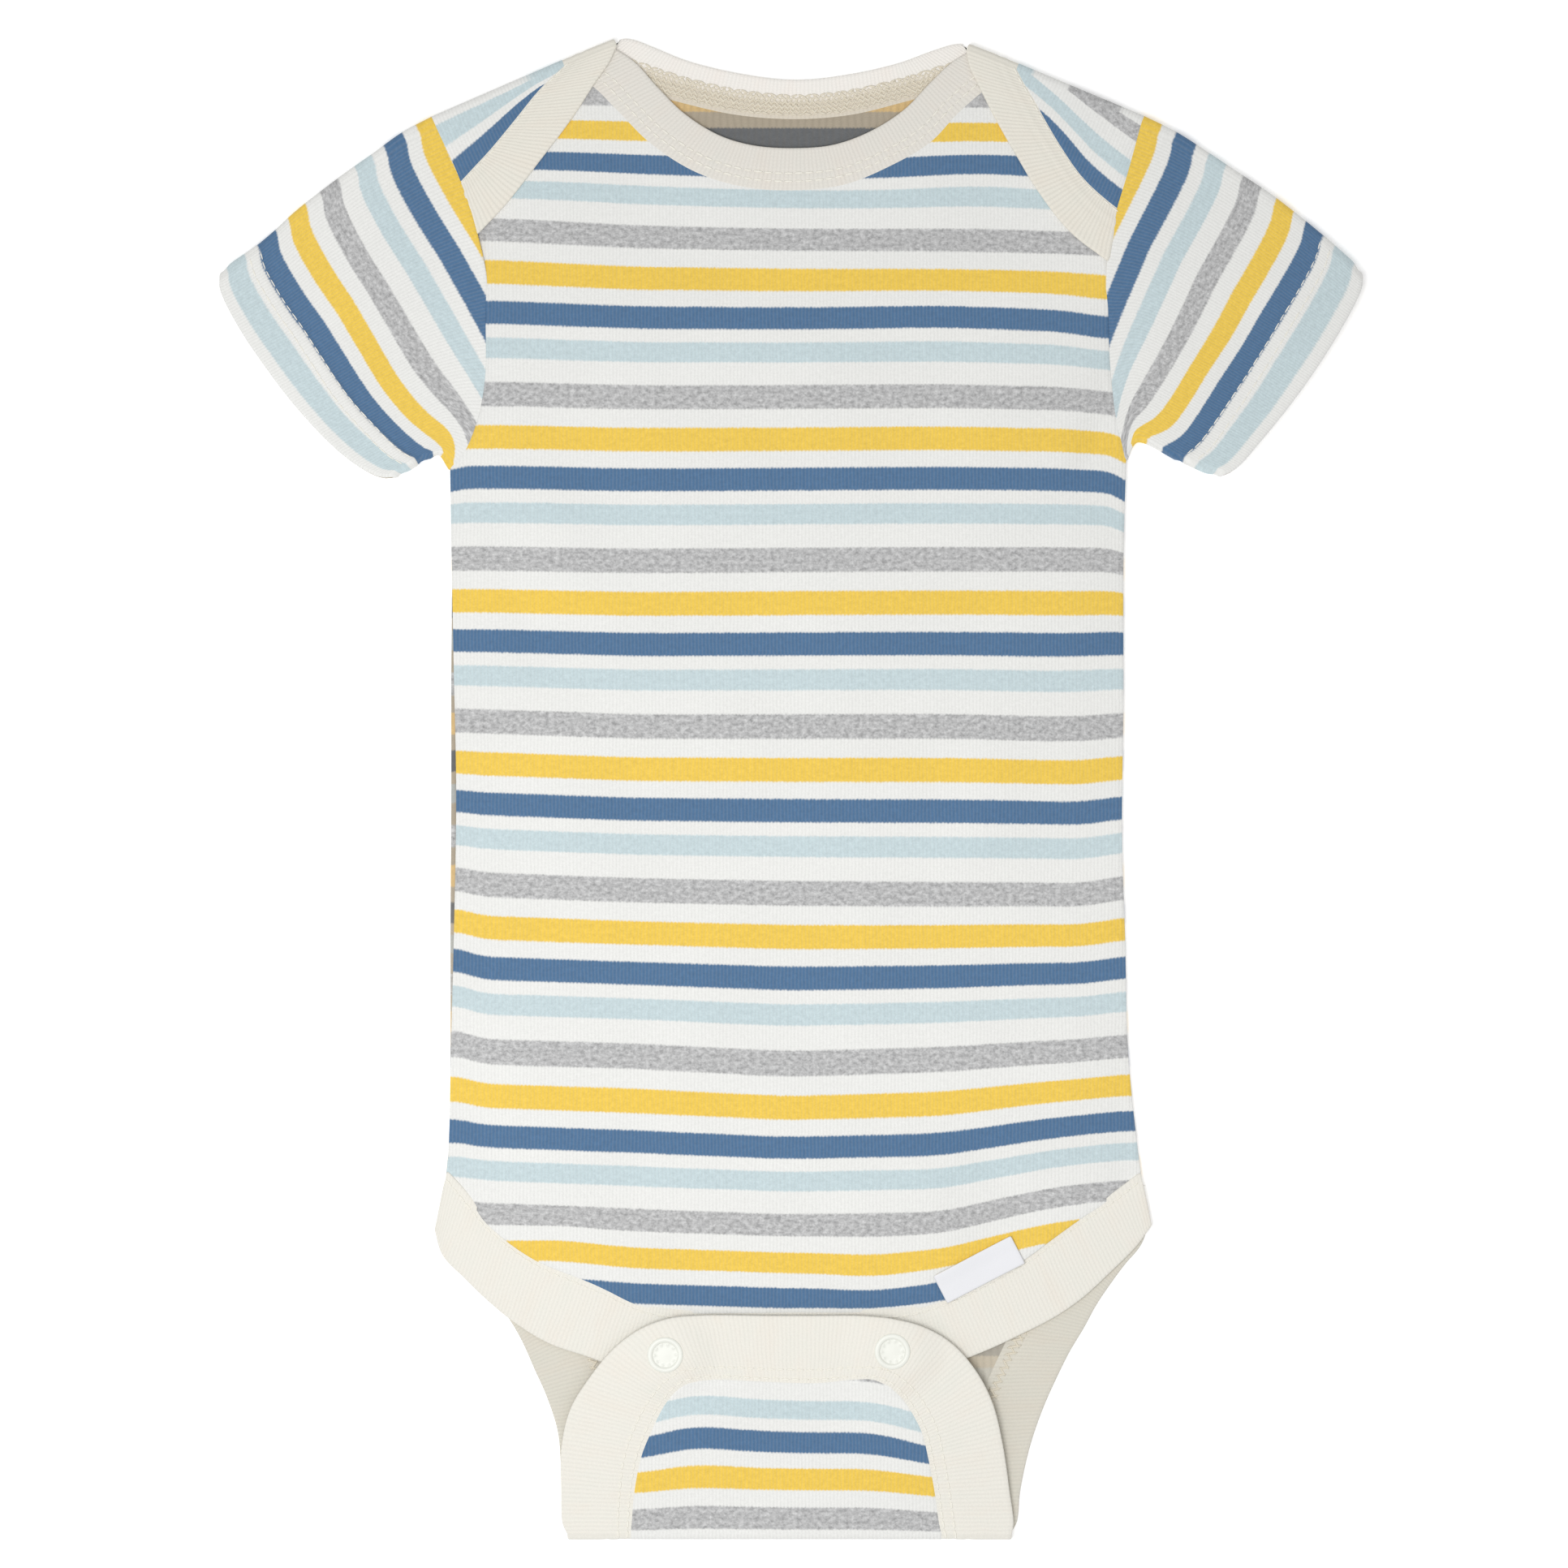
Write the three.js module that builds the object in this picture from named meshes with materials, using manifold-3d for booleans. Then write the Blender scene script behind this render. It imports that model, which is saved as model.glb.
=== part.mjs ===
// Baby bodysuit with short sleeves and lap shoulders, laid flat on its back. Sizes in millimetres.
// X runs to the right as the garment is looked down on, Y runs up to the neck, Z up from the surface.
// The cloth rests on Z = 0 with the middle of its outline over the origin.
import * as THREE from "three";
import { mergeVertices } from "three/addons/utils/BufferGeometryUtils.js";
import Module from "manifold-3d";

// Cloth and the gaps that keep neighbouring pieces apart
const JERSEY = 1.0; // thickness of the striped cloth
const RIB = 1.2; // thickness of the rib bands
const SEAM_GAP = 0.3; // between two pieces along a seam
const HEM_THICKNESS = 2.0; // two layers sewn flat at the sleeve's edge
const HEM_DEPTH = 13; // how far the sleeve's edge is turned up

// Heights of the middle of each layer over the surface
const FRONT_EDGE_Z = 1.8; // front at its edges, just clear of the back
const FRONT_CROWN = 0.9; // how much more the front lies up over its middle
const FRONT_NECK_BAND_Z = 1.9;
const FRONT_LEG_BAND_Z = 2.1;
const FRONT_LEG_BAND_RISE = 0.6; // more, under a snap
const LAP_Z = 3.5; // laps and their bands
const TAIL_FOLD_Z = 2.9; // tail, just past the fold between the legs
const TAIL_TOP_Z = 4.5; // tail, where it lies over the front's band
const TAIL_SNAP_RISE = 1.6; // more, under a snap cap
const SNAP_FLAT = 5.4; // radius of the flat round a snap
const SNAP_SPREAD = 15; // radius where its rise has died away

// Snaps: where their middles lie, and their radii
const SNAPS = [
  { side: "left", x: -33.5, y: -150.2 },
  { side: "right", x: 26.8, y: -149.3 },
];
const SNAP_RADIUS = 4.75;
const SNAP_DISC_RADIUS = 4.2;
const CAP_POST_RADIUS = 2.8;
const STUD_POST_RADIUS = 2.0;
const POST_CLEARANCE = 0.3;

// Folds: the outermost line of each, a point on it and the way it faces
const FOLDS = {
  shoulder_left: { x: -95.1, y: 179.6, along: [0.917, 0.399], out: [-0.399, 0.917], top: LAP_Z },
  shoulder_right: { x: 93.2, y: 179.8, along: [-0.922, 0.387], out: [0.387, 0.922], top: LAP_Z },
  crotch: { x: 0, y: -200.1, along: [1, 0], out: [0, -1], top: TAIL_FOLD_Z },
};
const FOLD_STEPS = 5;

// Where the folds start on the flat cloth: points shared by the pieces that run over them
const FOLD_POINTS = {
  armhole_left: [-95.1, 177.4],
  neck_seam_left: [-60.5, 192.4],
  neck_edge_left: [-46.9, 198.3],
  armhole_right: [93.2, 177.6],
  neck_seam_right: [60.0, 191.5],
  neck_edge_right: [47.0, 197.0],
  tail_seam_left: [-42.6, -198.4],
  tail_edge_left: [-60.1, -198.4],
  tail_seam_right: [39.8, -198.4],
  tail_edge_right: [59.2, -198.4],
};

// Edges of the panels: x, y
const ARMHOLE_LEFT = [
  [-95.1, 177.4], [-88.0, 161.7], [-83.9, 147.9], [-81.5, 136.9], [-81.1, 123.0],
  [-81.1, 112.0], [-82.6, 101.0], [-86.0, 91.5], [-90.6, 86.0],
];
const ARMHOLE_RIGHT = [
  [93.2, 177.6], [89.9, 164.5], [86.7, 154.6], [84.4, 141.0], [84.2, 123.0],
  [84.8, 110.7], [86.3, 99.7], [88.9, 88.4],
];
const SIDE_LEFT = [
  [-90.6, 86.0], [-90.2, 60.5], [-90.4, 30.0], [-90.4, -1.7], [-90.6, -38.5],
  [-90.6, -69.2], [-91.0, -95.1], [-91.7, -103.0],
];
const SIDE_LEFT_FRONT = [
  [-90.6, 86.0], [-90.2, 60.5], [-89.6, 30.0], [-89.0, -1.7], [-89.6, -38.5],
  [-90.4, -69.2], [-91.0, -95.1], [-91.7, -103.0],
];
const SIDE_RIGHT = [
  [88.9, 88.4], [88.2, 60.5], [88.2, 24.2], [87.8, -12.1], [88.6, -38.5],
  [89.5, -70.9], [91.9, -95.1], [93.0, -103.4],
];

// Bands: stations along each, with the point on the seam and the point on the free edge
const NECK_FRONT = [
  { seam: [-60.0, 191.4], edge: [-47.5, 197.1] },
  { seam: [-52.8, 188.0], edge: [-42.0, 193.4] },
  { seam: [-46.0, 181.5], edge: [-35.9, 186.7] },
  { seam: [-36.9, 172.5], edge: [-28.9, 179.8] },
  { seam: [-25.0, 165.0], edge: [-19.5, 173.9] },
  { seam: [-12.5, 161.2], edge: [-10.0, 171.1] },
  { seam: [0.8, 160.3], edge: [1.2, 170.4] },
  { seam: [13.9, 161.8], edge: [11.3, 171.3] },
  { seam: [25.4, 166.4], edge: [21.2, 174.9] },
  { seam: [36.4, 172.8], edge: [30.4, 180.8] },
  { seam: [44.3, 181.0], edge: [37.4, 188.0] },
  { seam: [52.4, 187.6], edge: [42.9, 193.2] },
  { seam: [59.5, 190.6], edge: [47.2, 195.9] },
];
const NECK_BACK = [
  { seam: FOLD_POINTS.neck_seam_left, edge: FOLD_POINTS.neck_edge_left },
  { seam: [-46.5, 188.2], edge: [-37.5, 197.6] },
  { seam: [-31.3, 183.8], edge: [-28.0, 194.3] },
  { seam: [-15.1, 180.4], edge: [-13.0, 190.3] },
  { seam: [1.1, 179.3], edge: [1.1, 188.8] },
  { seam: [16.2, 180.4], edge: [15.1, 190.3] },
  { seam: [31.3, 183.8], edge: [28.5, 193.6] },
  { seam: [47.0, 188.0], edge: [38.0, 195.8] },
  { seam: FOLD_POINTS.neck_seam_right, edge: FOLD_POINTS.neck_edge_right },
];
const LAP_LEFT = [
  { seam: FOLD_POINTS.neck_seam_left, edge: FOLD_POINTS.neck_edge_left },
  { seam: [-67.4, 185.8], edge: [-52.6, 188.3] },
  { seam: [-73.7, 178.0], edge: [-58.8, 178.8] },
  { seam: [-80.4, 169.9], edge: [-68.1, 166.5] },
  { seam: [-84.4, 165.6], edge: [-76.0, 156.4] },
  { seam: [-88.0, 161.7], edge: [-83.9, 147.9] },
];
const LAP_RIGHT = [
  { seam: FOLD_POINTS.neck_seam_right, edge: FOLD_POINTS.neck_edge_right },
  { seam: [64.4, 183.8], edge: [50.3, 187.4] },
  { seam: [68.0, 177.3], edge: [54.6, 178.9] },
  { seam: [71.5, 171.4], edge: [59.4, 170.4] },
  { seam: [77.0, 163.4], edge: [66.6, 158.6] },
  { seam: [82.0, 158.4], edge: [74.8, 148.4] },
  { seam: [86.7, 154.6], edge: [84.4, 141.0] },
];
const LEG_FRONT = [
  { seam: [-91.7, -103.0], edge: [-94.6, -117.6] },
  { seam: [-87.1, -108.1], edge: [-92.6, -124.0] },
  { seam: [-81.3, -115.3], edge: [-86.5, -130.4] },
  { seam: [-74.8, -120.9], edge: [-79.8, -136.8] },
  { seam: [-67.0, -125.9], edge: [-72.5, -142.6] },
  { seam: [-57.3, -129.9], edge: [-64.0, -147.6] },
  { seam: [-49.2, -133.4], edge: [-54.6, -150.8] },
  { seam: [-40.9, -137.4], edge: [-46.0, -153.8] },
  { seam: [-32.0, -139.4], edge: [-33.5, -155.6] },
  { seam: [-16.0, -139.6], edge: [-16.5, -155.6] },
  { seam: [-1.1, -139.4], edge: [-1.1, -155.4] },
  { seam: [15.0, -139.4], edge: [15.5, -155.5] },
  { seam: [29.4, -139.2], edge: [31.3, -155.4] },
  { seam: [37.0, -137.4], edge: [42.5, -152.8] },
  { seam: [45.5, -134.2], edge: [52.0, -149.2] },
  { seam: [54.5, -129.6], edge: [60.8, -145.1] },
  { seam: [62.5, -124.8], edge: [69.6, -140.6] },
  { seam: [69.8, -119.4], edge: [77.2, -135.4] },
  { seam: [77.6, -113.9], edge: [84.6, -128.6] },
  { seam: [85.4, -109.0], edge: [91.6, -121.6] },
  { seam: [93.0, -103.4], edge: [95.6, -116.2] },
];
const LEG_BACK_LEFT = [
  { seam: [-91.7, -103.0], edge: [-93.8, -117.4] },
  { seam: [-85.2, -107.8], edge: [-91.0, -123.4] },
  { seam: [-78.3, -114.2], edge: [-85.6, -129.2] },
  { seam: [-71.2, -121.6], edge: [-79.8, -135.2] },
  { seam: [-63.8, -130.0], edge: [-75.0, -141.2] },
  { seam: [-57.3, -139.3], edge: [-71.4, -147.4] },
  { seam: [-52.3, -149.0], edge: [-68.2, -154.6] },
  { seam: [-48.6, -158.5], edge: [-64.9, -162.0] },
  { seam: [-45.6, -170.5], edge: [-61.9, -171.5] },
  { seam: [-44.0, -182.0], edge: [-61.0, -182.2] },
  { seam: [-43.2, -191.0], edge: [-60.6, -191.0] },
  { seam: FOLD_POINTS.tail_seam_left, edge: FOLD_POINTS.tail_edge_left },
];
const LEG_BACK_RIGHT = [
  { seam: FOLD_POINTS.tail_seam_right, edge: FOLD_POINTS.tail_edge_right },
  { seam: [42.6, -188.0], edge: [60.6, -187.6] },
  { seam: [46.2, -176.6], edge: [63.2, -175.6] },
  { seam: [49.8, -166.4], edge: [66.6, -165.6] },
  { seam: [53.4, -157.4], edge: [70.4, -157.0] },
  { seam: [57.3, -149.0], edge: [73.9, -150.0] },
  { seam: [61.8, -139.9], edge: [77.6, -143.8] },
  { seam: [67.2, -131.0], edge: [81.0, -137.6] },
  { seam: [73.6, -122.8], edge: [84.6, -132.2] },
  { seam: [80.3, -115.4], edge: [88.6, -126.8] },
  { seam: [87.0, -109.2], edge: [92.9, -121.6] },
  { seam: [93.0, -103.4], edge: [95.0, -116.0] },
];
const TAIL = [
  { seam: FOLD_POINTS.tail_seam_left, edge: FOLD_POINTS.tail_edge_left },
  { seam: [-41.7, -188.1], edge: [-60.8, -187.0] },
  { seam: [-39.8, -177.9], edge: [-60.6, -174.5] },
  { seam: [-36.8, -170.4], edge: [-58.2, -164.8] },
  { seam: [-33.9, -164.5], edge: [-53.3, -156.8] },
  { seam: [-31.1, -160.6], edge: [-47.0, -149.2] },
  { seam: [-28.1, -158.3], edge: [-40.0, -143.9] },
  { seam: [-24.4, -157.4], edge: [-32.5, -141.1] },
  { seam: [-19.5, -157.2], edge: [-24.0, -140.4] },
  { seam: [-4.3, -157.9], edge: [-5.0, -140.5] },
  { seam: [7.4, -158.1], edge: [8.0, -140.5] },
  { seam: [16.2, -157.2], edge: [19.0, -140.5] },
  { seam: [21.6, -157.0], edge: [27.0, -141.2] },
  { seam: [25.9, -158.7], edge: [35.0, -143.4] },
  { seam: [29.4, -162.2], edge: [42.5, -147.9] },
  { seam: [32.2, -166.5], edge: [48.6, -154.8] },
  { seam: [34.6, -171.4], edge: [53.0, -163.2] },
  { seam: [36.3, -178.4], edge: [55.8, -174.5] },
  { seam: [38.1, -188.1], edge: [57.7, -187.5] },
  { seam: FOLD_POINTS.tail_seam_right, edge: FOLD_POINTS.tail_edge_right },
];

// Sleeves: the fold at their shoulder end, and their folded top, hem and underarm edges
const SLEEVES = {
  left: {
    fold: FOLDS.shoulder_left,
    top: [
      [-95.1, 179.6], [-104.0, 174.9], [-111.3, 169.6], [-118.7, 164.4], [-125.6, 159.2],
      [-132.3, 153.9], [-137.7, 148.9], [-143.8, 143.9], [-152.3, 138.2],
    ],
    hem: [
      [-152.3, 138.2], [-151.2, 132.6], [-146.2, 122.8], [-139.2, 112.4], [-131.2, 102.0],
      [-121.5, 91.7], [-115.5, 86.9], [-110.0, 84.0], [-104.2, 82.8],
    ],
    under: [[-90.9, 86.9], [-94.3, 89.0], [-99.5, 86.2], [-104.2, 82.8]],
    outward: -1,
  },
  right: {
    fold: FOLDS.shoulder_right,
    top: [
      [93.2, 179.8], [102.9, 175.0], [111.6, 169.4], [119.1, 164.4], [127.0, 159.2],
      [134.0, 153.9], [140.2, 148.9], [145.9, 143.8], [152.3, 138.2],
    ],
    hem: [
      [152.3, 138.2], [150.9, 132.8], [145.7, 122.8], [139.2, 112.4], [131.7, 102.0],
      [123.7, 92.2], [118.7, 86.5], [113.5, 82.6],
    ],
    under: [[89.2, 89.2], [92.2, 92.3], [103.8, 87.0], [113.5, 82.6]],
    outward: 1,
  },
};

// Soft creases of the front: a line, half its width, and how far it rises or dips
const CREASES = [
  { from: [-84, 84], to: [-70, 40], half: 4, rise: -0.5 },
  { from: [-78, 118], to: [-60, 60], half: 7, rise: 0.35 },
  { from: [84, 124], to: [66, 70], half: 6, rise: 0.45 },
  { from: [86, 100], to: [56, 52], half: 4.5, rise: -0.45 },
  { from: [62, 60], to: [50, -20], half: 10, rise: 0.35 },
  { from: [-60, 20], to: [-52, -60], half: 11, rise: 0.35 },
  { from: [-20, 100], to: [-8, 10], half: 12, rise: -0.3 },
  { from: [12, 60], to: [22, -60], half: 12, rise: 0.3 },
  { from: [46, -92], to: [64, -116], half: 4, rise: -0.45 },
  { from: [26, -84], to: [44, -124], half: 6, rise: 0.4 },
  { from: [-72, -92], to: [-50, -118], half: 6, rise: 0.35 },
  { from: [-34, -118], to: [-10, -132], half: 6, rise: -0.3 },
];

// Side label: the corners of its seam side, its width and thickness
const LABEL_SEAM = [[41.0, -135.4], [61.2, -124.9]];
const LABEL_WIDTH = 6.3;
const LABEL_THICKNESS = 1.0;

// A smooth step from 0 to 1 as t goes from a to b
function smooth(t, a, b) {
  const k = Math.min(1, Math.max(0, (t - a) / (b - a)));
  return k * k * (3 - 2 * k);
}

// The rise round the nearest snap, from 1 on its flat to 0
function snapRise(x, y) {
  const d = Math.min(...SNAPS.map((s) => Math.hypot(x - s.x, y - s.y)));
  return 1 - smooth(d, SNAP_FLAT, SNAP_SPREAD);
}

// Height of a soft crease line at x, y
function creaseHeight(c, x, y) {
  const dx = c.to[0] - c.from[0];
  const dy = c.to[1] - c.from[1];
  const len = Math.hypot(dx, dy);
  const along = ((x - c.from[0]) * dx + (y - c.from[1]) * dy) / (len * len);
  const off = ((x - c.from[0]) * -dy + (y - c.from[1]) * dx) / len;
  const taper = smooth(along, -0.25, 0.25) * (1 - smooth(along, 0.75, 1.25));
  return c.rise * taper * Math.exp(-((off / c.half) ** 2));
}

// Middle of the front panel: low at its edges and under the laps, softly up over its middle
function frontHeight(x, y) {
  const fromSide = 1 - smooth(Math.abs(x), 72, 90);
  const fromNeck = 1 - smooth(y, 118, 152);
  const fromLegs = smooth(y, -140, -112);
  const room = fromSide * fromNeck * fromLegs;
  let z = FRONT_EDGE_Z + FRONT_CROWN * room;
  for (const c of CREASES) z += creaseHeight(c, x, y) * Math.min(1, room * 1.6);
  const seam = (FRONT_LEG_BAND_Z - FRONT_EDGE_Z) * (1 - smooth(y, -140, -120));
  return Math.max(FRONT_EDGE_Z, z + seam * (1 - smooth(Math.abs(x), 72, 90)));
}

function frontBandHeight(x, y) {
  return FRONT_LEG_BAND_Z + FRONT_LEG_BAND_RISE * snapRise(x, y);
}

function tailHeight(x, y) {
  const climb = smooth(y, FOLDS.crotch.y + 3, -158);
  return TAIL_FOLD_Z + (TAIL_TOP_Z - TAIL_FOLD_Z) * climb + TAIL_SNAP_RISE * snapRise(x, y);
}

// A smooth curve through the points of a table, as count + 1 points evenly far apart
function spread(points, count) {
  const path = new THREE.CatmullRomCurve3(
    points.map(([x, y]) => new THREE.Vector3(x, y, 0)),
    false,
    "centripetal",
  );
  path.arcLengthDivisions = 400;
  return path.getSpacedPoints(count).map((p) => [p.x, p.y]);
}

// Points along a curve through stations, each station at an even share of the parameter
function alongStations(points, count) {
  const path = new THREE.CatmullRomCurve3(
    points.map(([x, y]) => new THREE.Vector3(x, y, 0)),
    false,
    "centripetal",
  );
  const out = [];
  for (let i = 0; i <= count; i++) {
    const p = path.getPoint(i / count);
    out.push([p.x, p.y]);
  }
  return out;
}

const mix = (a, b, t) => a.map((v, i) => v + (b[i] - v) * t);

// A straight line of count + 1 points
function line(a, b, count) {
  return Array.from({ length: count + 1 }, (_, i) => mix(a, b, i / count));
}

// Grid of plan points between four edges: bottom and top run in +u, left and right in +v
function coons(bottom, top, left, right) {
  const nu = bottom.length - 1;
  const nv = left.length - 1;
  const grid = [];
  for (let j = 0; j <= nv; j++) {
    const v = j / nv;
    const row = [];
    for (let i = 0; i <= nu; i++) {
      const u = i / nu;
      row.push(
        [0, 1].map((k) => {
          const sides = (1 - u) * left[j][k] + u * right[j][k];
          const ends = (1 - v) * bottom[i][k] + v * top[i][k];
          const low = (1 - u) * bottom[0][k] + u * bottom[nu][k];
          const high = (1 - u) * top[0][k] + u * top[nu][k];
          return sides + ends - (1 - v) * low - v * high;
        }),
      );
    }
    grid.push(row);
  }
  return grid;
}

// Grid of plan points between two edges of equal count
function ruled(a, b, rows) {
  return Array.from({ length: rows + 1 }, (_, j) => a.map((p, i) => mix(p, b[i], j / rows)));
}

// Lift a plan grid to a height
function lift(grid, height) {
  return grid.map((row) =>
    row.map(([x, y]) => [x, y, typeof height === "number" ? height : height(x, y)]),
  );
}

// The roll of cloth over a fold, from the lower layer's edge row to the upper layer's
function roll(row, fold, low, high) {
  const r = (high - low) / 2;
  const grid = [];
  for (let k = 0; k <= FOLD_STEPS; k++) {
    const a = (Math.PI * k) / FOLD_STEPS;
    const out = r * Math.sin(a);
    grid.push(
      row.map(([x, y]) => [
        x + fold.out[0] * out,
        y + fold.out[1] * out,
        low + r * (1 - Math.cos(a)),
      ]),
    );
  }
  return grid;
}

// A closed wall round the middle surface that the grids make together.
// thickness is a number, or a function of the point.
function wall(grids, thickness) {
  const points = [];
  const index = new Map();
  const at = (p) => {
    const key = p.map((c) => Math.round(c * 500)).join();
    if (!index.has(key)) {
      index.set(key, points.length);
      points.push(p);
    }
    return index.get(key);
  };
  const faces = [];
  const addFace = (a, b, c) => {
    if (a !== b && b !== c && a !== c) faces.push([a, b, c]);
  };
  for (const grid of grids) {
    for (let j = 0; j + 1 < grid.length; j++) {
      for (let i = 0; i + 1 < grid[j].length; i++) {
        const a = at(grid[j][i]);
        const b = at(grid[j][i + 1]);
        const c = at(grid[j + 1][i + 1]);
        const d = at(grid[j + 1][i]);
        addFace(a, b, c);
        addFace(a, c, d);
      }
    }
  }
  const normals = points.map(() => new THREE.Vector3());
  const vec = (i) => new THREE.Vector3(...points[i]);
  for (const [a, b, c] of faces) {
    const n = vec(b).sub(vec(a)).cross(vec(c).sub(vec(a)));
    for (const i of [a, b, c]) normals[i].add(n);
  }
  const edges = new Map();
  for (const f of faces) {
    for (let k = 0; k < 3; k++) edges.set(f[k] + "," + f[(k + 1) % 3], [f[k], f[(k + 1) % 3]]);
  }
  const position = [];
  for (const side of [1, -1]) {
    points.forEach((p, i) => {
      const n = normals[i].clone().normalize();
      const t = typeof thickness === "number" ? thickness : thickness(p);
      position.push(...[n.x, n.y, n.z].map((c, k) => p[k] + (side * c * t) / 2));
    });
  }
  const shift = points.length;
  const triangles = [];
  for (const [a, b, c] of faces) triangles.push(a, b, c, shift + a, shift + c, shift + b);
  for (const [a, b] of edges.values()) {
    if (edges.has(b + "," + a)) continue;
    triangles.push(b, a, shift + a, b, shift + a, shift + b);
  }
  const geometry = new THREE.BufferGeometry();
  geometry.setAttribute("position", new THREE.Float32BufferAttribute(position, 3));
  geometry.setIndex(triangles);
  return geometry;
}

// Edge points moved by dist to the left of the run, to leave a seam's gap
function offset(points, dist) {
  return points.map((p, i) => {
    const a = points[Math.max(0, i - 1)];
    const b = points[Math.min(points.length - 1, i + 1)];
    const len = Math.hypot(b[0] - a[0], b[1] - a[1]);
    return [p[0] - (dist * (b[1] - a[1])) / len, p[1] + (dist * (b[0] - a[0])) / len];
  });
}

const seamOf = (stations) => stations.map((s) => s.seam);
const edgeOf = (stations) => stations.map((s) => s.edge);

// A band's plan grid, its seam side drawn back by the seam gap
function band(stations, count, rows) {
  const seam = alongStations(seamOf(stations), count);
  const edge = alongStations(edgeOf(stations), count);
  const near = seam.map((p, i) => {
    const width = Math.hypot(edge[i][0] - p[0], edge[i][1] - p[1]);
    return mix(p, edge[i], SEAM_GAP / width);
  });
  return ruled(near, edge, rows);
}

// The same grid with its rows running the other way, so that its faces turn over
const flip = (grid) => grid.map((row) => [...row].reverse());

// The column of a grid at one end of the rows
const columnOf = (grid, i) => grid.map((row) => row[i < 0 ? row.length + i : i]);

// The armholes as rows of points that the panels and the sleeve share, from the shoulder down
const ARMHOLE_ROWS = 10;
const ARM_LEFT = spread(ARMHOLE_LEFT, ARMHOLE_ROWS);
const ARM_RIGHT = spread(ARMHOLE_RIGHT, ARMHOLE_ROWS);

// Front panel
const NECK_COLUMNS = 14;
const SHOULDER_COLUMNS = 5;

function frontPanel() {
  const inset = 0.6;
  const start = (name, fold) => {
    const [x, y] = FOLD_POINTS[name];
    return [x - fold.out[0] * inset, y - fold.out[1] * inset];
  };
  const armLeft = start("armhole_left", FOLDS.shoulder_left);
  const armRight = start("armhole_right", FOLDS.shoulder_right);
  const neck = spread(seamOf(NECK_FRONT), NECK_COLUMNS);
  const top = [
    ...line(armLeft, neck[0], SHOULDER_COLUMNS),
    ...neck.slice(1),
    ...line(neck[NECK_COLUMNS], armRight, SHOULDER_COLUMNS).slice(1),
  ];
  const columns = top.length - 1;
  const chest = line(ARMHOLE_LEFT[8], ARMHOLE_RIGHT[7], columns);
  const left = [armLeft, ...ARM_LEFT.slice(1)].reverse();
  const right = [armRight, ...ARM_RIGHT.slice(1)].reverse();
  const yoke = coons(chest, top, left, right);
  const bodyRows = 20;
  const legSeam = spread(seamOf(LEG_FRONT), columns);
  const sideLeft = spread(SIDE_LEFT_FRONT, bodyRows).reverse();
  const sideRight = spread(SIDE_RIGHT, bodyRows).reverse();
  const body = coons(legSeam, chest, sideLeft, sideRight);
  return wall([lift(yoke, frontHeight), lift(body, frontHeight)], JERSEY);
}

// Back panel, with the laps over the shoulders and the tail between the legs
function backPanel() {
  const z = JERSEY / 2;
  const points = FOLD_POINTS;
  const shoulder = 5;
  const neckCount = 12;
  const neck = spread(seamOf(NECK_BACK), neckCount);
  const foldLeft = line(points.armhole_left, points.neck_seam_left, shoulder);
  const foldRight = line(points.neck_seam_right, points.armhole_right, shoulder);
  const top = [...foldLeft, ...neck.slice(1), ...foldRight.slice(1)];
  const columns = top.length - 1;
  const chest = line(ARMHOLE_LEFT[8], ARMHOLE_RIGHT[7], columns);
  const yoke = coons(chest, top, [...ARM_LEFT].reverse(), [...ARM_RIGHT].reverse());
  const hip = line(SIDE_LEFT[7], SIDE_RIGHT[7], columns);
  const torso = coons(hip, chest, spread(SIDE_LEFT, 5).reverse(), spread(SIDE_RIGHT, 5).reverse());
  const crotch = line(points.tail_seam_left, points.tail_seam_right, columns);
  const legLeft = spread(seamOf(LEG_BACK_LEFT), 9).reverse();
  const legRight = spread(seamOf(LEG_BACK_RIGHT), 9);
  const seat = coons(crotch, hip, legLeft, legRight);

  const tailSeam = seamOf(TAIL);
  const tailSides = 7;
  const tailLeft = spread(tailSeam.slice(0, 8), tailSides);
  const tailTop = spread(tailSeam.slice(7, 14), columns);
  const tailRight = spread(tailSeam.slice(13), tailSides).reverse();
  const tail = coons(crotch, tailTop, tailLeft, tailRight);

  const grids = [lift(yoke, z), lift(torso, z), lift(seat, z)];
  grids.push(flip(roll(crotch, FOLDS.crotch, z, TAIL_FOLD_Z)), flip(lift(tail, tailHeight)));
  const lapLeft = ruled(foldLeft, spread(seamOf(LAP_LEFT), shoulder).reverse(), 4);
  const lapRight = ruled(foldRight, spread(seamOf(LAP_RIGHT), shoulder), 4);
  grids.push(roll(foldLeft, FOLDS.shoulder_left, z, LAP_Z));
  grids.push(roll(foldRight, FOLDS.shoulder_right, z, LAP_Z));
  grids.push(lift(lapLeft, LAP_Z), lift(lapRight, LAP_Z));
  return wall(grids, JERSEY);
}

// Rib band of the front neckline
function neckBindingFront() {
  return wall([lift(band(NECK_FRONT, 32, 2), FRONT_NECK_BAND_Z)], RIB);
}

// A band that lies flat, rolls over a fold and runs on above: the end columns meet on the fold
function neckBindingBack() {
  const z = RIB / 2;
  const main = band(NECK_BACK, 24, 2);
  const left = band(LAP_LEFT, 12, 2);
  const right = band(LAP_RIGHT, 12, 2);
  const rollLeft = roll(columnOf(main, 0), FOLDS.shoulder_left, z, LAP_Z);
  const rollRight = roll(columnOf(main, -1), FOLDS.shoulder_right, z, LAP_Z);
  const startLap = (grid, column) => grid.map((row, j) => [column[j], ...row.slice(1)]);
  const grids = [
    lift(main, z),
    rollLeft,
    flip(rollRight),
    flip(lift(startLap(left, columnOf(main, 0)), LAP_Z)),
    lift(startLap(right, columnOf(main, -1)), LAP_Z),
  ];
  return wall(grids, RIB);
}

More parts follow.
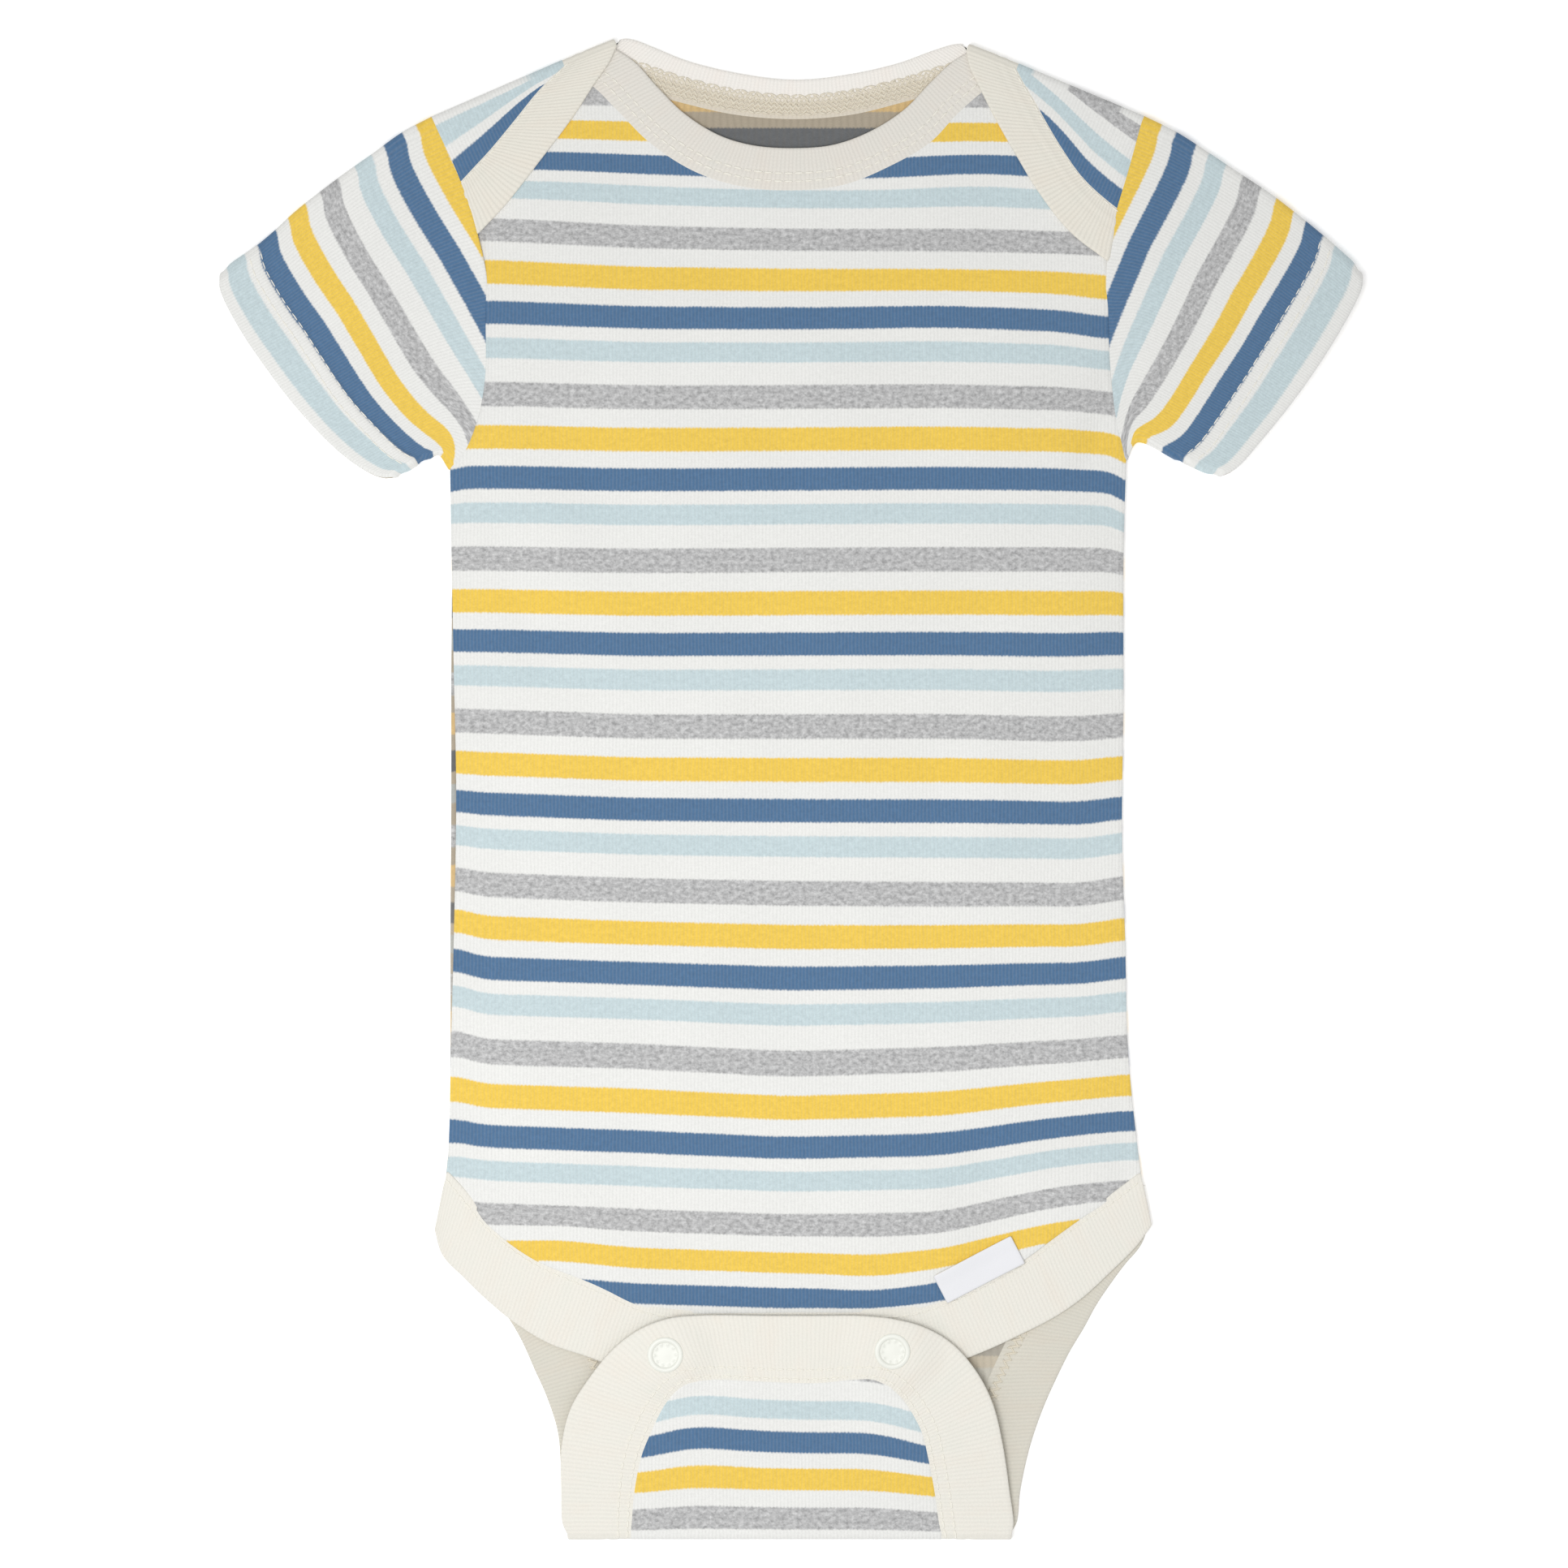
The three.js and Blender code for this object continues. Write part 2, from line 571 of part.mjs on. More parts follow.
// Rib band of the front's leg edges
function legBindingFront() {
  return wall([flip(lift(band(LEG_FRONT, 50, 2), frontBandHeight))], RIB);
}

// Rib band of the back's leg edges, over the fold and round the tail
function legBindingBack() {
  const z = RIB / 2;
  const left = band(LEG_BACK_LEFT, 18, 2);
  const right = band(LEG_BACK_RIGHT, 18, 2);
  const tail = band(TAIL, 48, 2);
  const lifted = lift(tail, tailHeight);
  const last = lifted[0].length - 1;
  const endLeft = columnOf(left, -1);
  const endRight = columnOf(right, 0);
  lifted.forEach((row, j) => {
    row[0] = [...endLeft[j], TAIL_FOLD_Z];
    row[last] = [...endRight[j], TAIL_FOLD_Z];
  });
  const grids = [
    flip(lift(left, z)),
    roll(endLeft, FOLDS.crotch, z, TAIL_FOLD_Z),
    flip(lifted),
    flip(roll(endRight, FOLDS.crotch, z, TAIL_FOLD_Z)),
    flip(lift(right, z)),
  ];
  return wall(grids, RIB);
}

// Sleeve: rings of a flattened tube from the armhole to the hem
const SLEEVE_RINGS = 8;
const SLEEVE_LENGTH = 66;
const SLEEVE_ROLL_STEPS = 5;
const UNDERARM_ROLL = 0.65; // radius of the tube's fold under the arm, at the armhole
const HEM_ROLL = 1.3; // radius of its folds at the hem

function sleeveThickness(share) {
  const left = SLEEVE_LENGTH * (1 - share);
  return JERSEY + (HEM_THICKNESS - JERSEY) * (1 - smooth(left, HEM_DEPTH - 5, HEM_DEPTH + 5));
}

const step = (p, dir, dist) => [p[0] + dir[0] * dist, p[1] + dir[1] * dist];

function direction(a, b) {
  const len = Math.hypot(b[0] - a[0], b[1] - a[1]);
  return [(b[0] - a[0]) / len, (b[1] - a[1]) / len];
}

// Points round one fold of the tube, without its two ends
function tubeFold(p, dir, radius, low, upwards) {
  const points = [];
  for (let k = 1; k < SLEEVE_ROLL_STEPS; k++) {
    const a = (Math.PI * k) / SLEEVE_ROLL_STEPS;
    const turn = upwards ? -Math.cos(a) : Math.cos(a);
    const q = step(p, dir, radius * Math.sin(a));
    points.push([...q, low + radius * (1 + turn)]);
  }
  return points;
}

function sleeve(spec) {
  const n = ARMHOLE_ROWS;
  const armhole = offset(spec.armhole, SEAM_GAP * spec.outward);
  const shoulderRoll = (LAP_Z - JERSEY / 2) / 2;
  const endUnder = direction(armhole[n - 1], armhole[n]);
  const first = [...armhole];
  first[0] = step(armhole[0], spec.fold.out, shoulderRoll + JERSEY / 2);
  first[n] = step(armhole[n], endUnder, UNDERARM_ROLL + JERSEY / 2);
  const top = spread([first[0], ...spec.top.slice(1)], SLEEVE_RINGS);
  const under = spread([first[n], ...spec.under.slice(1)], SLEEVE_RINGS);
  const plan = coons(first, spread(spec.hem, n), top, under);
  const thickness = new Map();
  const rings = plan.map((row, j) => {
    const share = j / SLEEVE_RINGS;
    const t = sleeveThickness(share);
    const low = t / 2;
    const rTop = shoulderRoll + (HEM_ROLL - shoulderRoll) * share;
    const rUnder = UNDERARM_ROLL + (HEM_ROLL - UNDERARM_ROLL) * share;
    const outTop = j ? direction(row[1], row[0]) : spec.fold.out;
    const outUnder = j ? direction(row[n - 1], row[n]) : endUnder;
    const flat = [...row];
    flat[0] = step(row[0], outTop, -rTop - t / 2);
    flat[n] = step(row[n], outUnder, -rUnder - t / 2);
    const upper = flat.map((p, i) => {
      const drop = smooth(i / n, 0.32, 0.52);
      return [...p, low + 2 * (rTop + (rUnder - rTop) * drop)];
    });
    const ring = [
      ...flat.map((p) => [...p, low]).reverse(),
      ...tubeFold(flat[0], outTop, rTop, low, true),
      ...upper,
      ...tubeFold(flat[n], outUnder, rUnder, low, false),
    ];
    for (const p of ring) thickness.set(p, t);
    return [...ring, ring[0]];
  });
  return wall([spec.outward < 0 ? flip(rings) : rings], (p) => thickness.get(p));
}

// A turned part from its profile: radius, height
function turned(profile) {
  const segments = 16;
  return new THREE.LatheGeometry(
    profile.map(([r, z]) => new THREE.Vector2(r, z)),
    segments,
  ).rotateX(Math.PI / 2);
}

// Upper half of a snap: the ring on the outside, the post through the band, the socket below
function snapCap() {
  const band = TAIL_TOP_Z + TAIL_SNAP_RISE;
  const under = band - RIB / 2 - POST_CLEARANCE;
  const over = band + RIB / 2 + POST_CLEARANCE;
  return turned([
    [0, under + 0.1],
    [2.05, under + 0.1],
    [2.15, under - 1.1],
    [SNAP_DISC_RADIUS - 0.2, under - 1.1],
    [SNAP_DISC_RADIUS, under - 0.9],
    [SNAP_DISC_RADIUS, under],
    [CAP_POST_RADIUS, under],
    [CAP_POST_RADIUS, over],
    [SNAP_RADIUS - 0.2, over],
    [SNAP_RADIUS, over + 0.2],
    [SNAP_RADIUS, over + 0.45],
    [SNAP_RADIUS - 0.35, over + 0.8],
    [SNAP_RADIUS - 0.9, over + 0.9],
    [SNAP_RADIUS - 1.4, over + 0.75],
    [SNAP_RADIUS - 1.75, over + 0.4],
    [0, over + 0.4],
  ]);
}

// Lower half of a snap: the disc on the inside, the post through the band, the stud above
function snapStud() {
  const band = FRONT_LEG_BAND_Z + FRONT_LEG_BAND_RISE;
  const under = band - RIB / 2 - POST_CLEARANCE;
  const over = band + RIB / 2 + POST_CLEARANCE;
  return turned([
    [0, under - 0.5],
    [SNAP_DISC_RADIUS - 0.2, under - 0.5],
    [SNAP_DISC_RADIUS, under - 0.3],
    [SNAP_DISC_RADIUS, under],
    [STUD_POST_RADIUS, under],
    [STUD_POST_RADIUS, over],
    [SNAP_DISC_RADIUS, over],
    [SNAP_DISC_RADIUS, over + 0.35],
    [SNAP_DISC_RADIUS - 0.2, over + 0.5],
    [1.6, over + 0.5],
    [1.75, over + 1.1],
    [1.5, over + 1.45],
    [1.0, over + 1.6],
    [0, over + 1.6],
  ]);
}

// Side label: a small piece beside its seam, its points the front's own, moved out
function sideLabel() {
  const [a, b] = LABEL_SEAM;
  const len = Math.hypot(b[0] - a[0], b[1] - a[1]);
  const up = [-(b[1] - a[1]) / len, (b[0] - a[0]) / len];
  const far = (p) => [p[0] + up[0] * LABEL_WIDTH, p[1] + up[1] * LABEL_WIDTH];
  const grid = ruled(line(a, b, 6), line(far(a), far(b), 6), 2);
  const clear = JERSEY / 2 + SEAM_GAP + LABEL_THICKNESS / 2;
  return wall([lift(grid, (x, y) => frontHeight(x, y) + clear)], LABEL_THICKNESS);
}

// Round holes through a band, where the posts of the snaps pass
const manifold = await Module();
manifold.setup();

function pierced(geometry, radius) {
  const merged = mergeVertices(geometry, 1e-4);
  let solid = new manifold.Manifold(
    new manifold.Mesh({
      numProp: 3,
      vertProperties: new Float32Array(merged.attributes.position.array),
      triVerts: new Uint32Array(merged.index.array),
    }),
  );
  for (const s of SNAPS) {
    const drill = manifold.Manifold.cylinder(30, radius, radius, 20).translate([s.x, s.y, 1.4]);
    solid = solid.subtract(drill);
  }
  const mesh = solid.getMesh();
  const out = new THREE.BufferGeometry();
  out.setAttribute("position", new THREE.BufferAttribute(mesh.vertProperties, 3));
  out.setIndex(new THREE.BufferAttribute(mesh.triVerts, 1));
  return out;
}

// The garment
const COLOURS = {
  jersey: 0xebeae6,
  rib: 0xe9e6da,
  plastic: 0xe9eae2,
  label: 0xf0f0ee,
};

const bodysuit = new THREE.Group();
bodysuit.name = "baby_bodysuit";

function add(name, geometry, colour, x = 0, y = 0) {
  const mesh = new THREE.Mesh(
    geometry,
    new THREE.MeshStandardMaterial({ color: colour, roughness: 0.9 }),
  );
  mesh.name = name;
  mesh.position.set(x, y, 0);
  bodysuit.add(mesh);
}

add("back_panel", backPanel(), COLOURS.jersey);
add("front_panel", frontPanel(), COLOURS.jersey);
add("sleeve_left", sleeve({ ...SLEEVES.left, armhole: ARM_LEFT }), COLOURS.jersey);
add("sleeve_right", sleeve({ ...SLEEVES.right, armhole: ARM_RIGHT }), COLOURS.jersey);
add("neck_binding_front", neckBindingFront(), COLOURS.rib);
add("neck_binding_back", neckBindingBack(), COLOURS.rib);
add("leg_binding_front", pierced(legBindingFront(), STUD_POST_RADIUS + POST_CLEARANCE), COLOURS.rib);
add("leg_binding_back", pierced(legBindingBack(), CAP_POST_RADIUS + POST_CLEARANCE), COLOURS.rib);
for (const s of SNAPS) {
  add("snap_stud_" + s.side, snapStud(), COLOURS.plastic, s.x, s.y);
  add("snap_cap_" + s.side, snapCap(), COLOURS.plastic, s.x, s.y);
}
add("side_label", sideLabel(), COLOURS.label);

export default bodysuit;
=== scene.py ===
# Baby bodysuit with short sleeves and lap shoulders, laid flat on its back.
# The file follows the sewing: back, front, sleeves, neck bands, leg bands, stitching, snaps, label, room.
import math

import bpy
import numpy as np
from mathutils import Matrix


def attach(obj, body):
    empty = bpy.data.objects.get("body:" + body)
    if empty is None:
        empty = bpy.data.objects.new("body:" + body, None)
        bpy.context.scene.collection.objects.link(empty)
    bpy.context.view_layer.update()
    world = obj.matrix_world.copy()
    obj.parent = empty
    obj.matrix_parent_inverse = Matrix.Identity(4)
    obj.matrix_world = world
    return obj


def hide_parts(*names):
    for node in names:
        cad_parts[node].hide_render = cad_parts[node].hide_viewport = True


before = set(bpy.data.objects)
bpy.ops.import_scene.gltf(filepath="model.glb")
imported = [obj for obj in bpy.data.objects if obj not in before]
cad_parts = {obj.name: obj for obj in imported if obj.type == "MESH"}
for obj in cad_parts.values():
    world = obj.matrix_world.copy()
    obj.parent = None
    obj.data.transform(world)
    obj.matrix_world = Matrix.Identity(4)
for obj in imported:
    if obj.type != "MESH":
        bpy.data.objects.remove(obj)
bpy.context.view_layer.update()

# Back, laps and tail
# One cut of thin cotton jersey with printed stripes. It lies flat on the surface, its two laps
# fold over the shoulders to the front, and its tail folds up between the legs.
# Sizes are millimetres until a mesh is made.
JERSEY = 1.0
LAP_Z = 3.5
TAIL_FOLD_Z = 2.9
TAIL_TOP_Z = 4.5
TAIL_SNAP_RISE = 1.6
# cloth taken up by the roll at the tail's fold and at a shoulder's fold
TAIL_ROLL = 3.77
LAP_ROLL = 4.7
# distance between two columns of the jersey's loops, in metres
JERSEY_WALE = 0.00095
SNAP_FLAT = 5.4
SNAP_SPREAD = 15.0
SNAPS = {"left": (-33.5, -150.2), "right": (26.8, -149.3)}

SHOULDER_LEFT = {"out": np.array([-0.399, 0.917]), "at": np.array([-95.1, 177.4]), "long": 37.7}
SHOULDER_RIGHT = {"out": np.array([0.387, 0.922]), "at": np.array([93.2, 177.6]), "long": 36.0}
CROTCH_Y = -198.4
CROTCH = {"out": np.array([0.0, -1.0]), "at": np.array([0.0, CROTCH_Y])}
ARM_TOP_LEFT = [-95.1, 177.4]
NECK_SEAM_LEFT = [-60.5, 192.4]
NECK_EDGE_LEFT = [-46.9, 197.9]
ARM_TOP_RIGHT = [93.2, 177.6]
NECK_SEAM_RIGHT = [60.0, 191.5]
NECK_EDGE_RIGHT = [47.0, 196.6]
TAIL_SEAM_LEFT = [-42.6, CROTCH_Y]
TAIL_EDGE_LEFT = [-59.2, CROTCH_Y]
TAIL_SEAM_RIGHT = [39.8, CROTCH_Y]
TAIL_EDGE_RIGHT = [58.3, CROTCH_Y]

ARMHOLE_LEFT = [
    [-95.1, 177.4], [-88.0, 161.7], [-83.9, 147.9], [-81.5, 136.9], [-81.1, 123.0],
    [-81.1, 112.0], [-82.6, 101.0], [-86.0, 91.5], [-90.6, 86.0],
]
ARMHOLE_RIGHT = [
    [93.2, 177.6], [89.9, 164.5], [86.7, 154.6], [84.4, 141.0], [84.2, 123.0],
    [84.8, 110.7], [86.3, 99.7], [88.9, 88.4],
]
SIDE_LEFT = [
    [-90.6, 86.0], [-90.2, 60.5], [-90.4, 30.0], [-90.4, -1.7], [-90.6, -38.5],
    [-90.6, -69.2], [-91.0, -95.1], [-91.7, -103.0],
]
SIDE_RIGHT = [
    [88.9, 88.4], [88.2, 60.5], [88.2, 24.2], [87.8, -12.1], [88.6, -38.5],
    [89.5, -70.9], [91.9, -95.1], [93.0, -103.4],
]

# Seam and free edge of each band, as pairs of points: seam x, y, edge x, y
NECK_BACK = [
    [*NECK_SEAM_LEFT, *NECK_EDGE_LEFT],
    [-59.2, 191.9, -45.9, 199.3], [-56.8, 191.2, -44.4, 199.8], [-52.2, 189.9, -41.3, 199.2],
    [-46.5, 188.5, -37.2, 197.6], [-31.3, 184.4, -27.7, 193.8], [-15.1, 180.7, -13.0, 190.3],
    [1.1, 179.5, 1.1, 188.8], [16.2, 180.7, 15.1, 190.2], [31.3, 184.4, 28.5, 193.2],
    [47.0, 188.4, 36.5, 196.1], [52.2, 189.6, 40.6, 197.5], [56.8, 190.8, 43.8, 198.3],
    [58.9, 191.3, 45.8, 198.2],
    [*NECK_SEAM_RIGHT, *NECK_EDGE_RIGHT],
]
LAP_LEFT = [
    [*NECK_SEAM_LEFT, *NECK_EDGE_LEFT],
    [-63.6, 189.6, -49.0, 193.4], [-67.4, 185.8, -52.6, 188.3], [-73.7, 178.0, -58.8, 178.8],
    [-80.4, 169.9, -68.1, 166.5], [-84.4, 165.6, -76.0, 156.4], [-88.0, 161.7, -83.9, 147.9],
]
LAP_RIGHT = [
    [*NECK_SEAM_RIGHT, *NECK_EDGE_RIGHT],
    [61.9, 187.9, 47.8, 192.6], [64.4, 183.8, 50.3, 187.4], [68.0, 177.3, 54.6, 178.9],
    [71.5, 171.4, 59.4, 170.4], [77.0, 163.4, 66.6, 158.6], [82.0, 158.4, 74.8, 148.4],
    [86.7, 154.6, 84.4, 141.0],
]
LEG_BACK_LEFT = [
    [-91.7, -103.0, -93.8, -117.4], [-85.2, -107.8, -91.0, -123.4],
    [-78.3, -114.2, -85.6, -129.2], [-71.2, -121.6, -79.8, -135.2],
    [-63.8, -130.0, -75.0, -141.2], [-57.3, -139.3, -71.4, -147.4],
    [-52.3, -149.0, -68.2, -154.6], [-48.6, -158.5, -64.9, -162.0],
    [-45.6, -170.5, -61.9, -171.5], [-44.0, -182.0, -61.0, -182.2],
    [-43.2, -191.0, -60.6, -191.0], [-42.8, -195.4, -60.3, -195.4],
    [*TAIL_SEAM_LEFT, *TAIL_EDGE_LEFT],
]
LEG_BACK_RIGHT = [
    [*TAIL_SEAM_RIGHT, *TAIL_EDGE_RIGHT],
    [40.6, -195.6, 59.8, -195.4], [42.6, -188.0, 60.6, -187.6], [46.2, -176.6, 63.2, -175.6],
    [49.8, -166.4, 66.6, -165.6], [53.4, -157.4, 70.4, -157.0],
    [57.3, -149.0, 73.9, -150.0], [61.8, -139.9, 77.6, -143.8],
    [67.2, -131.0, 81.0, -137.6], [73.6, -122.8, 84.6, -132.2], [80.3, -115.4, 88.6, -126.8],
    [87.0, -109.2, 92.9, -121.6], [93.0, -103.4, 95.0, -116.0],
]
TAIL = [
    [*TAIL_SEAM_LEFT, *TAIL_EDGE_LEFT],
    [-42.3, -195.4, -60.5, -195.4], [-41.7, -188.1, -60.8, -187.0], [-39.8, -177.9, -60.6, -174.5],
    [-36.8, -170.4, -58.2, -164.8], [-33.9, -164.5, -53.3, -156.8],
    [-31.1, -160.6, -47.0, -149.2], [-28.1, -158.3, -40.0, -143.9],
    [-24.4, -157.4, -32.5, -141.1], [-19.5, -157.2, -24.0, -140.4],
    [-4.3, -157.9, -5.0, -140.5], [7.4, -158.1, 8.0, -140.5], [16.2, -157.2, 19.0, -140.5],
    [21.6, -157.0, 27.0, -141.2], [25.9, -158.7, 35.0, -143.4], [29.4, -162.2, 42.5, -147.9],
    [32.2, -166.5, 48.6, -154.8], [34.6, -171.4, 53.0, -163.2], [36.3, -178.4, 55.8, -174.5],
    [38.1, -188.1, 57.7, -187.5], [39.1, -195.4, 58.7, -195.4],
    [*TAIL_SEAM_RIGHT, *TAIL_EDGE_RIGHT],
]


def smooth(value, start, end):
    """A soft step from 0 to 1 as value goes from start to end."""
    k = np.clip((np.asarray(value, float) - start) / (end - start), 0, 1)
    return k * k * (3 - 2 * k)


def curve_at(points, t):
    """Points on the smooth curve through a table, at t counted in stations."""
    p = np.asarray(points, float)
    p = np.vstack([2 * p[0] - p[1], p, 2 * p[-1] - p[-2]])
    t = np.asarray(t, float)
    i = np.clip(np.floor(t).astype(int), 0, len(p) - 4)
    w = (t - i)[:, None]
    a, b, c, d = p[i], p[i + 1], p[i + 2], p[i + 3]
    k0 = np.sqrt(np.linalg.norm(b - a, axis=1))[:, None]
    k1 = np.sqrt(np.linalg.norm(c - b, axis=1))[:, None]
    k2 = np.sqrt(np.linalg.norm(d - c, axis=1))[:, None]
    start = ((b - a) / k0 - (c - a) / (k0 + k1) + (c - b) / k1) * k1
    end = ((c - b) / k1 - (d - b) / (k1 + k2) + (d - c) / k2) * k1
    rise = 3 * (c - b) - 2 * start - end
    return b + start * w + rise * w**2 + (2 * (b - c) + start + end) * w**3


def run_of(points):
    """Length along a row of points, from its first."""
    steps = np.linalg.norm(np.diff(points, axis=0), axis=1)
    return np.concatenate([[0.0], np.cumsum(steps)])


def evenly(points, count):
    """Points evenly far apart on the smooth curve through a table."""
    t = np.linspace(0, len(points) - 1, 401)
    run = run_of(curve_at(points, t))
    return curve_at(points, np.interp(np.linspace(0, run[-1], count + 1), run, t))


def straight(a, b, count):
    """Points evenly far apart on the line from a to b."""
    share = np.linspace(0, 1, count + 1)[:, None]
    return np.asarray(a, float) * (1 - share) + np.asarray(b, float) * share


def patch(bottom, top, left, right):
    """Plan points between four edges: bottom and top run one way, left and right the other."""
    u = np.linspace(0, 1, len(bottom))[None, :, None]
    v = np.linspace(0, 1, len(left))[:, None, None]
    sides = (1 - u) * left[:, None] + u * right[:, None]
    ends = (1 - v) * bottom[None] + v * top[None]
    low = (1 - u) * bottom[0] + u * bottom[-1]
    high = (1 - u) * top[0] + u * top[-1]
    return sides + ends - (1 - v) * low - v * high


def between(a, b, rows):
    """Plan points between two edges of equal count."""
    share = np.linspace(0, 1, rows + 1)[:, None, None]
    return a[None] * (1 - share) + b[None] * share


def lifted(plan, height):
    """A plan grid raised to its height, which is a number or a grid."""
    z = np.broadcast_to(np.asarray(height, float), plan.shape[:2])
    return np.concatenate([plan, z[..., None]], axis=2)


def rolled(row, fold, low, high, steps=10):
    """The cloth that rolls over a fold, from the lower layer's edge row to the upper layer's."""
    radius = (high - low) / 2
    turn = np.linspace(0, math.pi, steps + 1)[:, None]
    plan = row[None] + fold["out"] * (radius * np.sin(turn))[..., None]
    z = low + radius * (1 - np.cos(turn)) + np.zeros(len(row))
    return np.concatenate([plan, z[..., None]], axis=2)


def snap_rise(x, y):
    """Rise of the cloth round the nearest snap, from 1 on its flat to 0."""
    near = np.min([np.hypot(x - sx, y - sy) for sx, sy in SNAPS.values()], axis=0)
    return 1 - smooth(near, SNAP_FLAT, SNAP_SPREAD)


def tail_height(x, y):
    """Middle of the tail and its band over the surface."""
    climb = smooth(y, -197.1, -158)
    return TAIL_FOLD_Z + (TAIL_TOP_Z - TAIL_FOLD_Z) * climb + TAIL_SNAP_RISE * snap_rise(x, y)


def leaf(mid, knit, stripe=None, thick=JERSEY, turned=False):
    """One grid of a cloth: its middle surface, its own flat place and its place in the stripes."""
    rows, cols = mid.shape[:2]
    stripe = np.zeros((rows, cols)) if stripe is None else stripe
    thick = np.broadcast_to(np.asarray(thick, float), (rows, cols))
    grids = [mid, knit, stripe, thick]
    if turned:
        grids = [g[:, ::-1] for g in grids]
    return dict(zip(("mid", "knit", "stripe", "thick"), grids))


def placed(name, mesh):
    """An object of the scene from its mesh."""
    piece = bpy.data.objects.new(name, mesh)
    bpy.context.scene.collection.objects.link(piece)
    return piece


def sew(name, leaves, upper, lower, rim=0.8, rim_steps=4):
    """One closed wall of cloth round the leaves, with a softly rounded rim.

    upper is the material of the side that the leaves' normals point to, lower of the other.
    Each leaf also gets its two outer surfaces, on which the stitching is laid later."""
    points = np.concatenate([one["mid"].reshape(-1, 3) for one in leaves])
    knit = np.concatenate([one["knit"].reshape(-1, 2) for one in leaves]) * 0.001
    stripe = np.concatenate([one["stripe"].ravel() for one in leaves])
    thick = np.concatenate([one["thick"].ravel() for one in leaves])
    keys = np.round(points * 200 + 0.137).astype(np.int64)
    _, first, joined = np.unique(keys, axis=0, return_index=True, return_inverse=True)
    joined = joined.ravel()
    mids = points[first]
    half = thick[first] / 2

    quads = []
    start = 0
    for one in leaves:
        rows, cols = one["mid"].shape[:2]
        index = start + np.arange(rows * cols).reshape(rows, cols)
        corners = [index[:-1, :-1], index[:-1, 1:], index[1:, 1:], index[1:, :-1]]
        quads.append(np.stack([c.ravel() for c in corners], axis=1))
        start += rows * cols
    quads = np.concatenate(quads)
    normals = np.zeros_like(mids)
    a, b, c, d = (mids[joined[quads[:, k]]] for k in range(4))
    face_normal = np.cross(c - a, d - b)
    for k in range(4):
        np.add.at(normals, joined[quads[:, k]], face_normal)
    normals /= np.maximum(np.linalg.norm(normals, axis=1), 1e-9)[:, None]

    faces = []
    marks = []
    edges = {}
    for quad in quads.tolist():
        ring = []
        for raw in quad:
            if joined[raw] not in [joined[r] for r in ring]:
                ring.append(raw)
        if len(ring) < 3:
            continue
        faces.append(ring)
        for k, raw in enumerate(ring):
            after = ring[(k + 1) % len(ring)]
            edges[(int(joined[raw]), int(joined[after]))] = (raw, after)
    count = len(mids)
    vertices = [mids + normals * half[:, None], mids - normals * half[:, None]]
    polygons = []
    sources = []
    for ring in faces:
        polygons.append([int(joined[r]) for r in ring])
        sources.append(ring)
        marks.append(0)
        polygons.append([int(joined[r]) + count for r in reversed(ring)])
        sources.append(ring[::-1])
        marks.append(1)

    border = {pair: raw for pair, raw in edges.items() if (pair[1], pair[0]) not in edges}
    out = {}
    for i, j in border:
        along = mids[j] - mids[i]
        for end in (i, j):
            out[end] = out.get(end, np.zeros(3)) + np.cross(along, normals[end])
    rings = {}
    total = 2 * count
    rim_points = []
    for i, way in out.items():
        way = way / max(np.linalg.norm(way), 1e-9)
        ring = [i]
        for k in range(1, rim_steps):
            turn = math.pi * k / rim_steps
            reach = normals[i] * math.cos(turn) + way * rim * math.sin(turn)
            rim_points.append(mids[i] + reach * half[i])
            ring.append(total)
            total += 1
        rings[i] = ring + [i + count]
    for (i, j), (raw_i, raw_j) in border.items():
        for k in range(rim_steps):
            polygons.append([rings[j][k], rings[i][k], rings[i][k + 1], rings[j][k + 1]])
            sources.append([raw_j, raw_i, raw_i, raw_j])
            marks.append(0 if k < rim_steps / 2 else 1)
    if rim_points:
        vertices.append(np.array(rim_points))
    vertices = np.concatenate(vertices) * 0.001

    mesh = bpy.data.meshes.new(name)
    mesh.from_pydata(vertices.tolist(), [], polygons)
    mesh.materials.append(upper)
    mesh.materials.append(lower)
    flat = np.fromiter((raw for ring in sources for raw in ring), int)
    for layer, values in (("knit", knit[flat]), ("stripe", np.stack([knit[flat, 0], stripe[flat]], 1))):
        mesh.uv_layers.new(name=layer).data.foreach_set("uv", values.astype(np.float32).ravel())
    mesh.polygons.foreach_set("material_index", np.array(marks, np.int32))
    mesh.polygons.foreach_set("use_smooth", np.ones(len(marks), bool))
    mesh.update()
    piece = placed(name, mesh)

    start = 0
    for one in leaves:
        rows, cols = one["mid"].shape[:2]
        own = joined[start : start + rows * cols]
        for side, sign in (("over", 1), ("under", -1)):
            moved = mids[own] + sign * normals[own] * half[own][:, None]
            one[side] = moved.reshape(rows, cols, 3)
        start += rows * cols
    return piece


def add_node(tree, kind, *values, **settings):
    """A node with its settings, its inputs filled in order with numbers or other nodes' outputs."""
    made = tree.nodes.new(kind)
    for key, value in settings.items():
        setattr(made, key, value)
    for socket, value in zip(made.inputs, values):
        if isinstance(value, bpy.types.NodeSocket):
            tree.links.new(value, socket)
        elif value is not None:
            socket.default_value = value
    return made


def sums(tree, operation, *values):
    """One step of arithmetic."""
    return add_node(tree, "ShaderNodeMath", *values, operation=operation).outputs[0]


def blended(tree, share, a, b, kind="MIX"):
    """Two colours mixed."""
    made = add_node(tree, "ShaderNodeMix", data_type="RGBA", blend_type=kind)
    for index, value in ((0, share), (6, a), (7, b)):
        if isinstance(value, bpy.types.NodeSocket):
            tree.links.new(value, made.inputs[index])
        else:
            made.inputs[index].default_value = value
    return made.outputs[2]


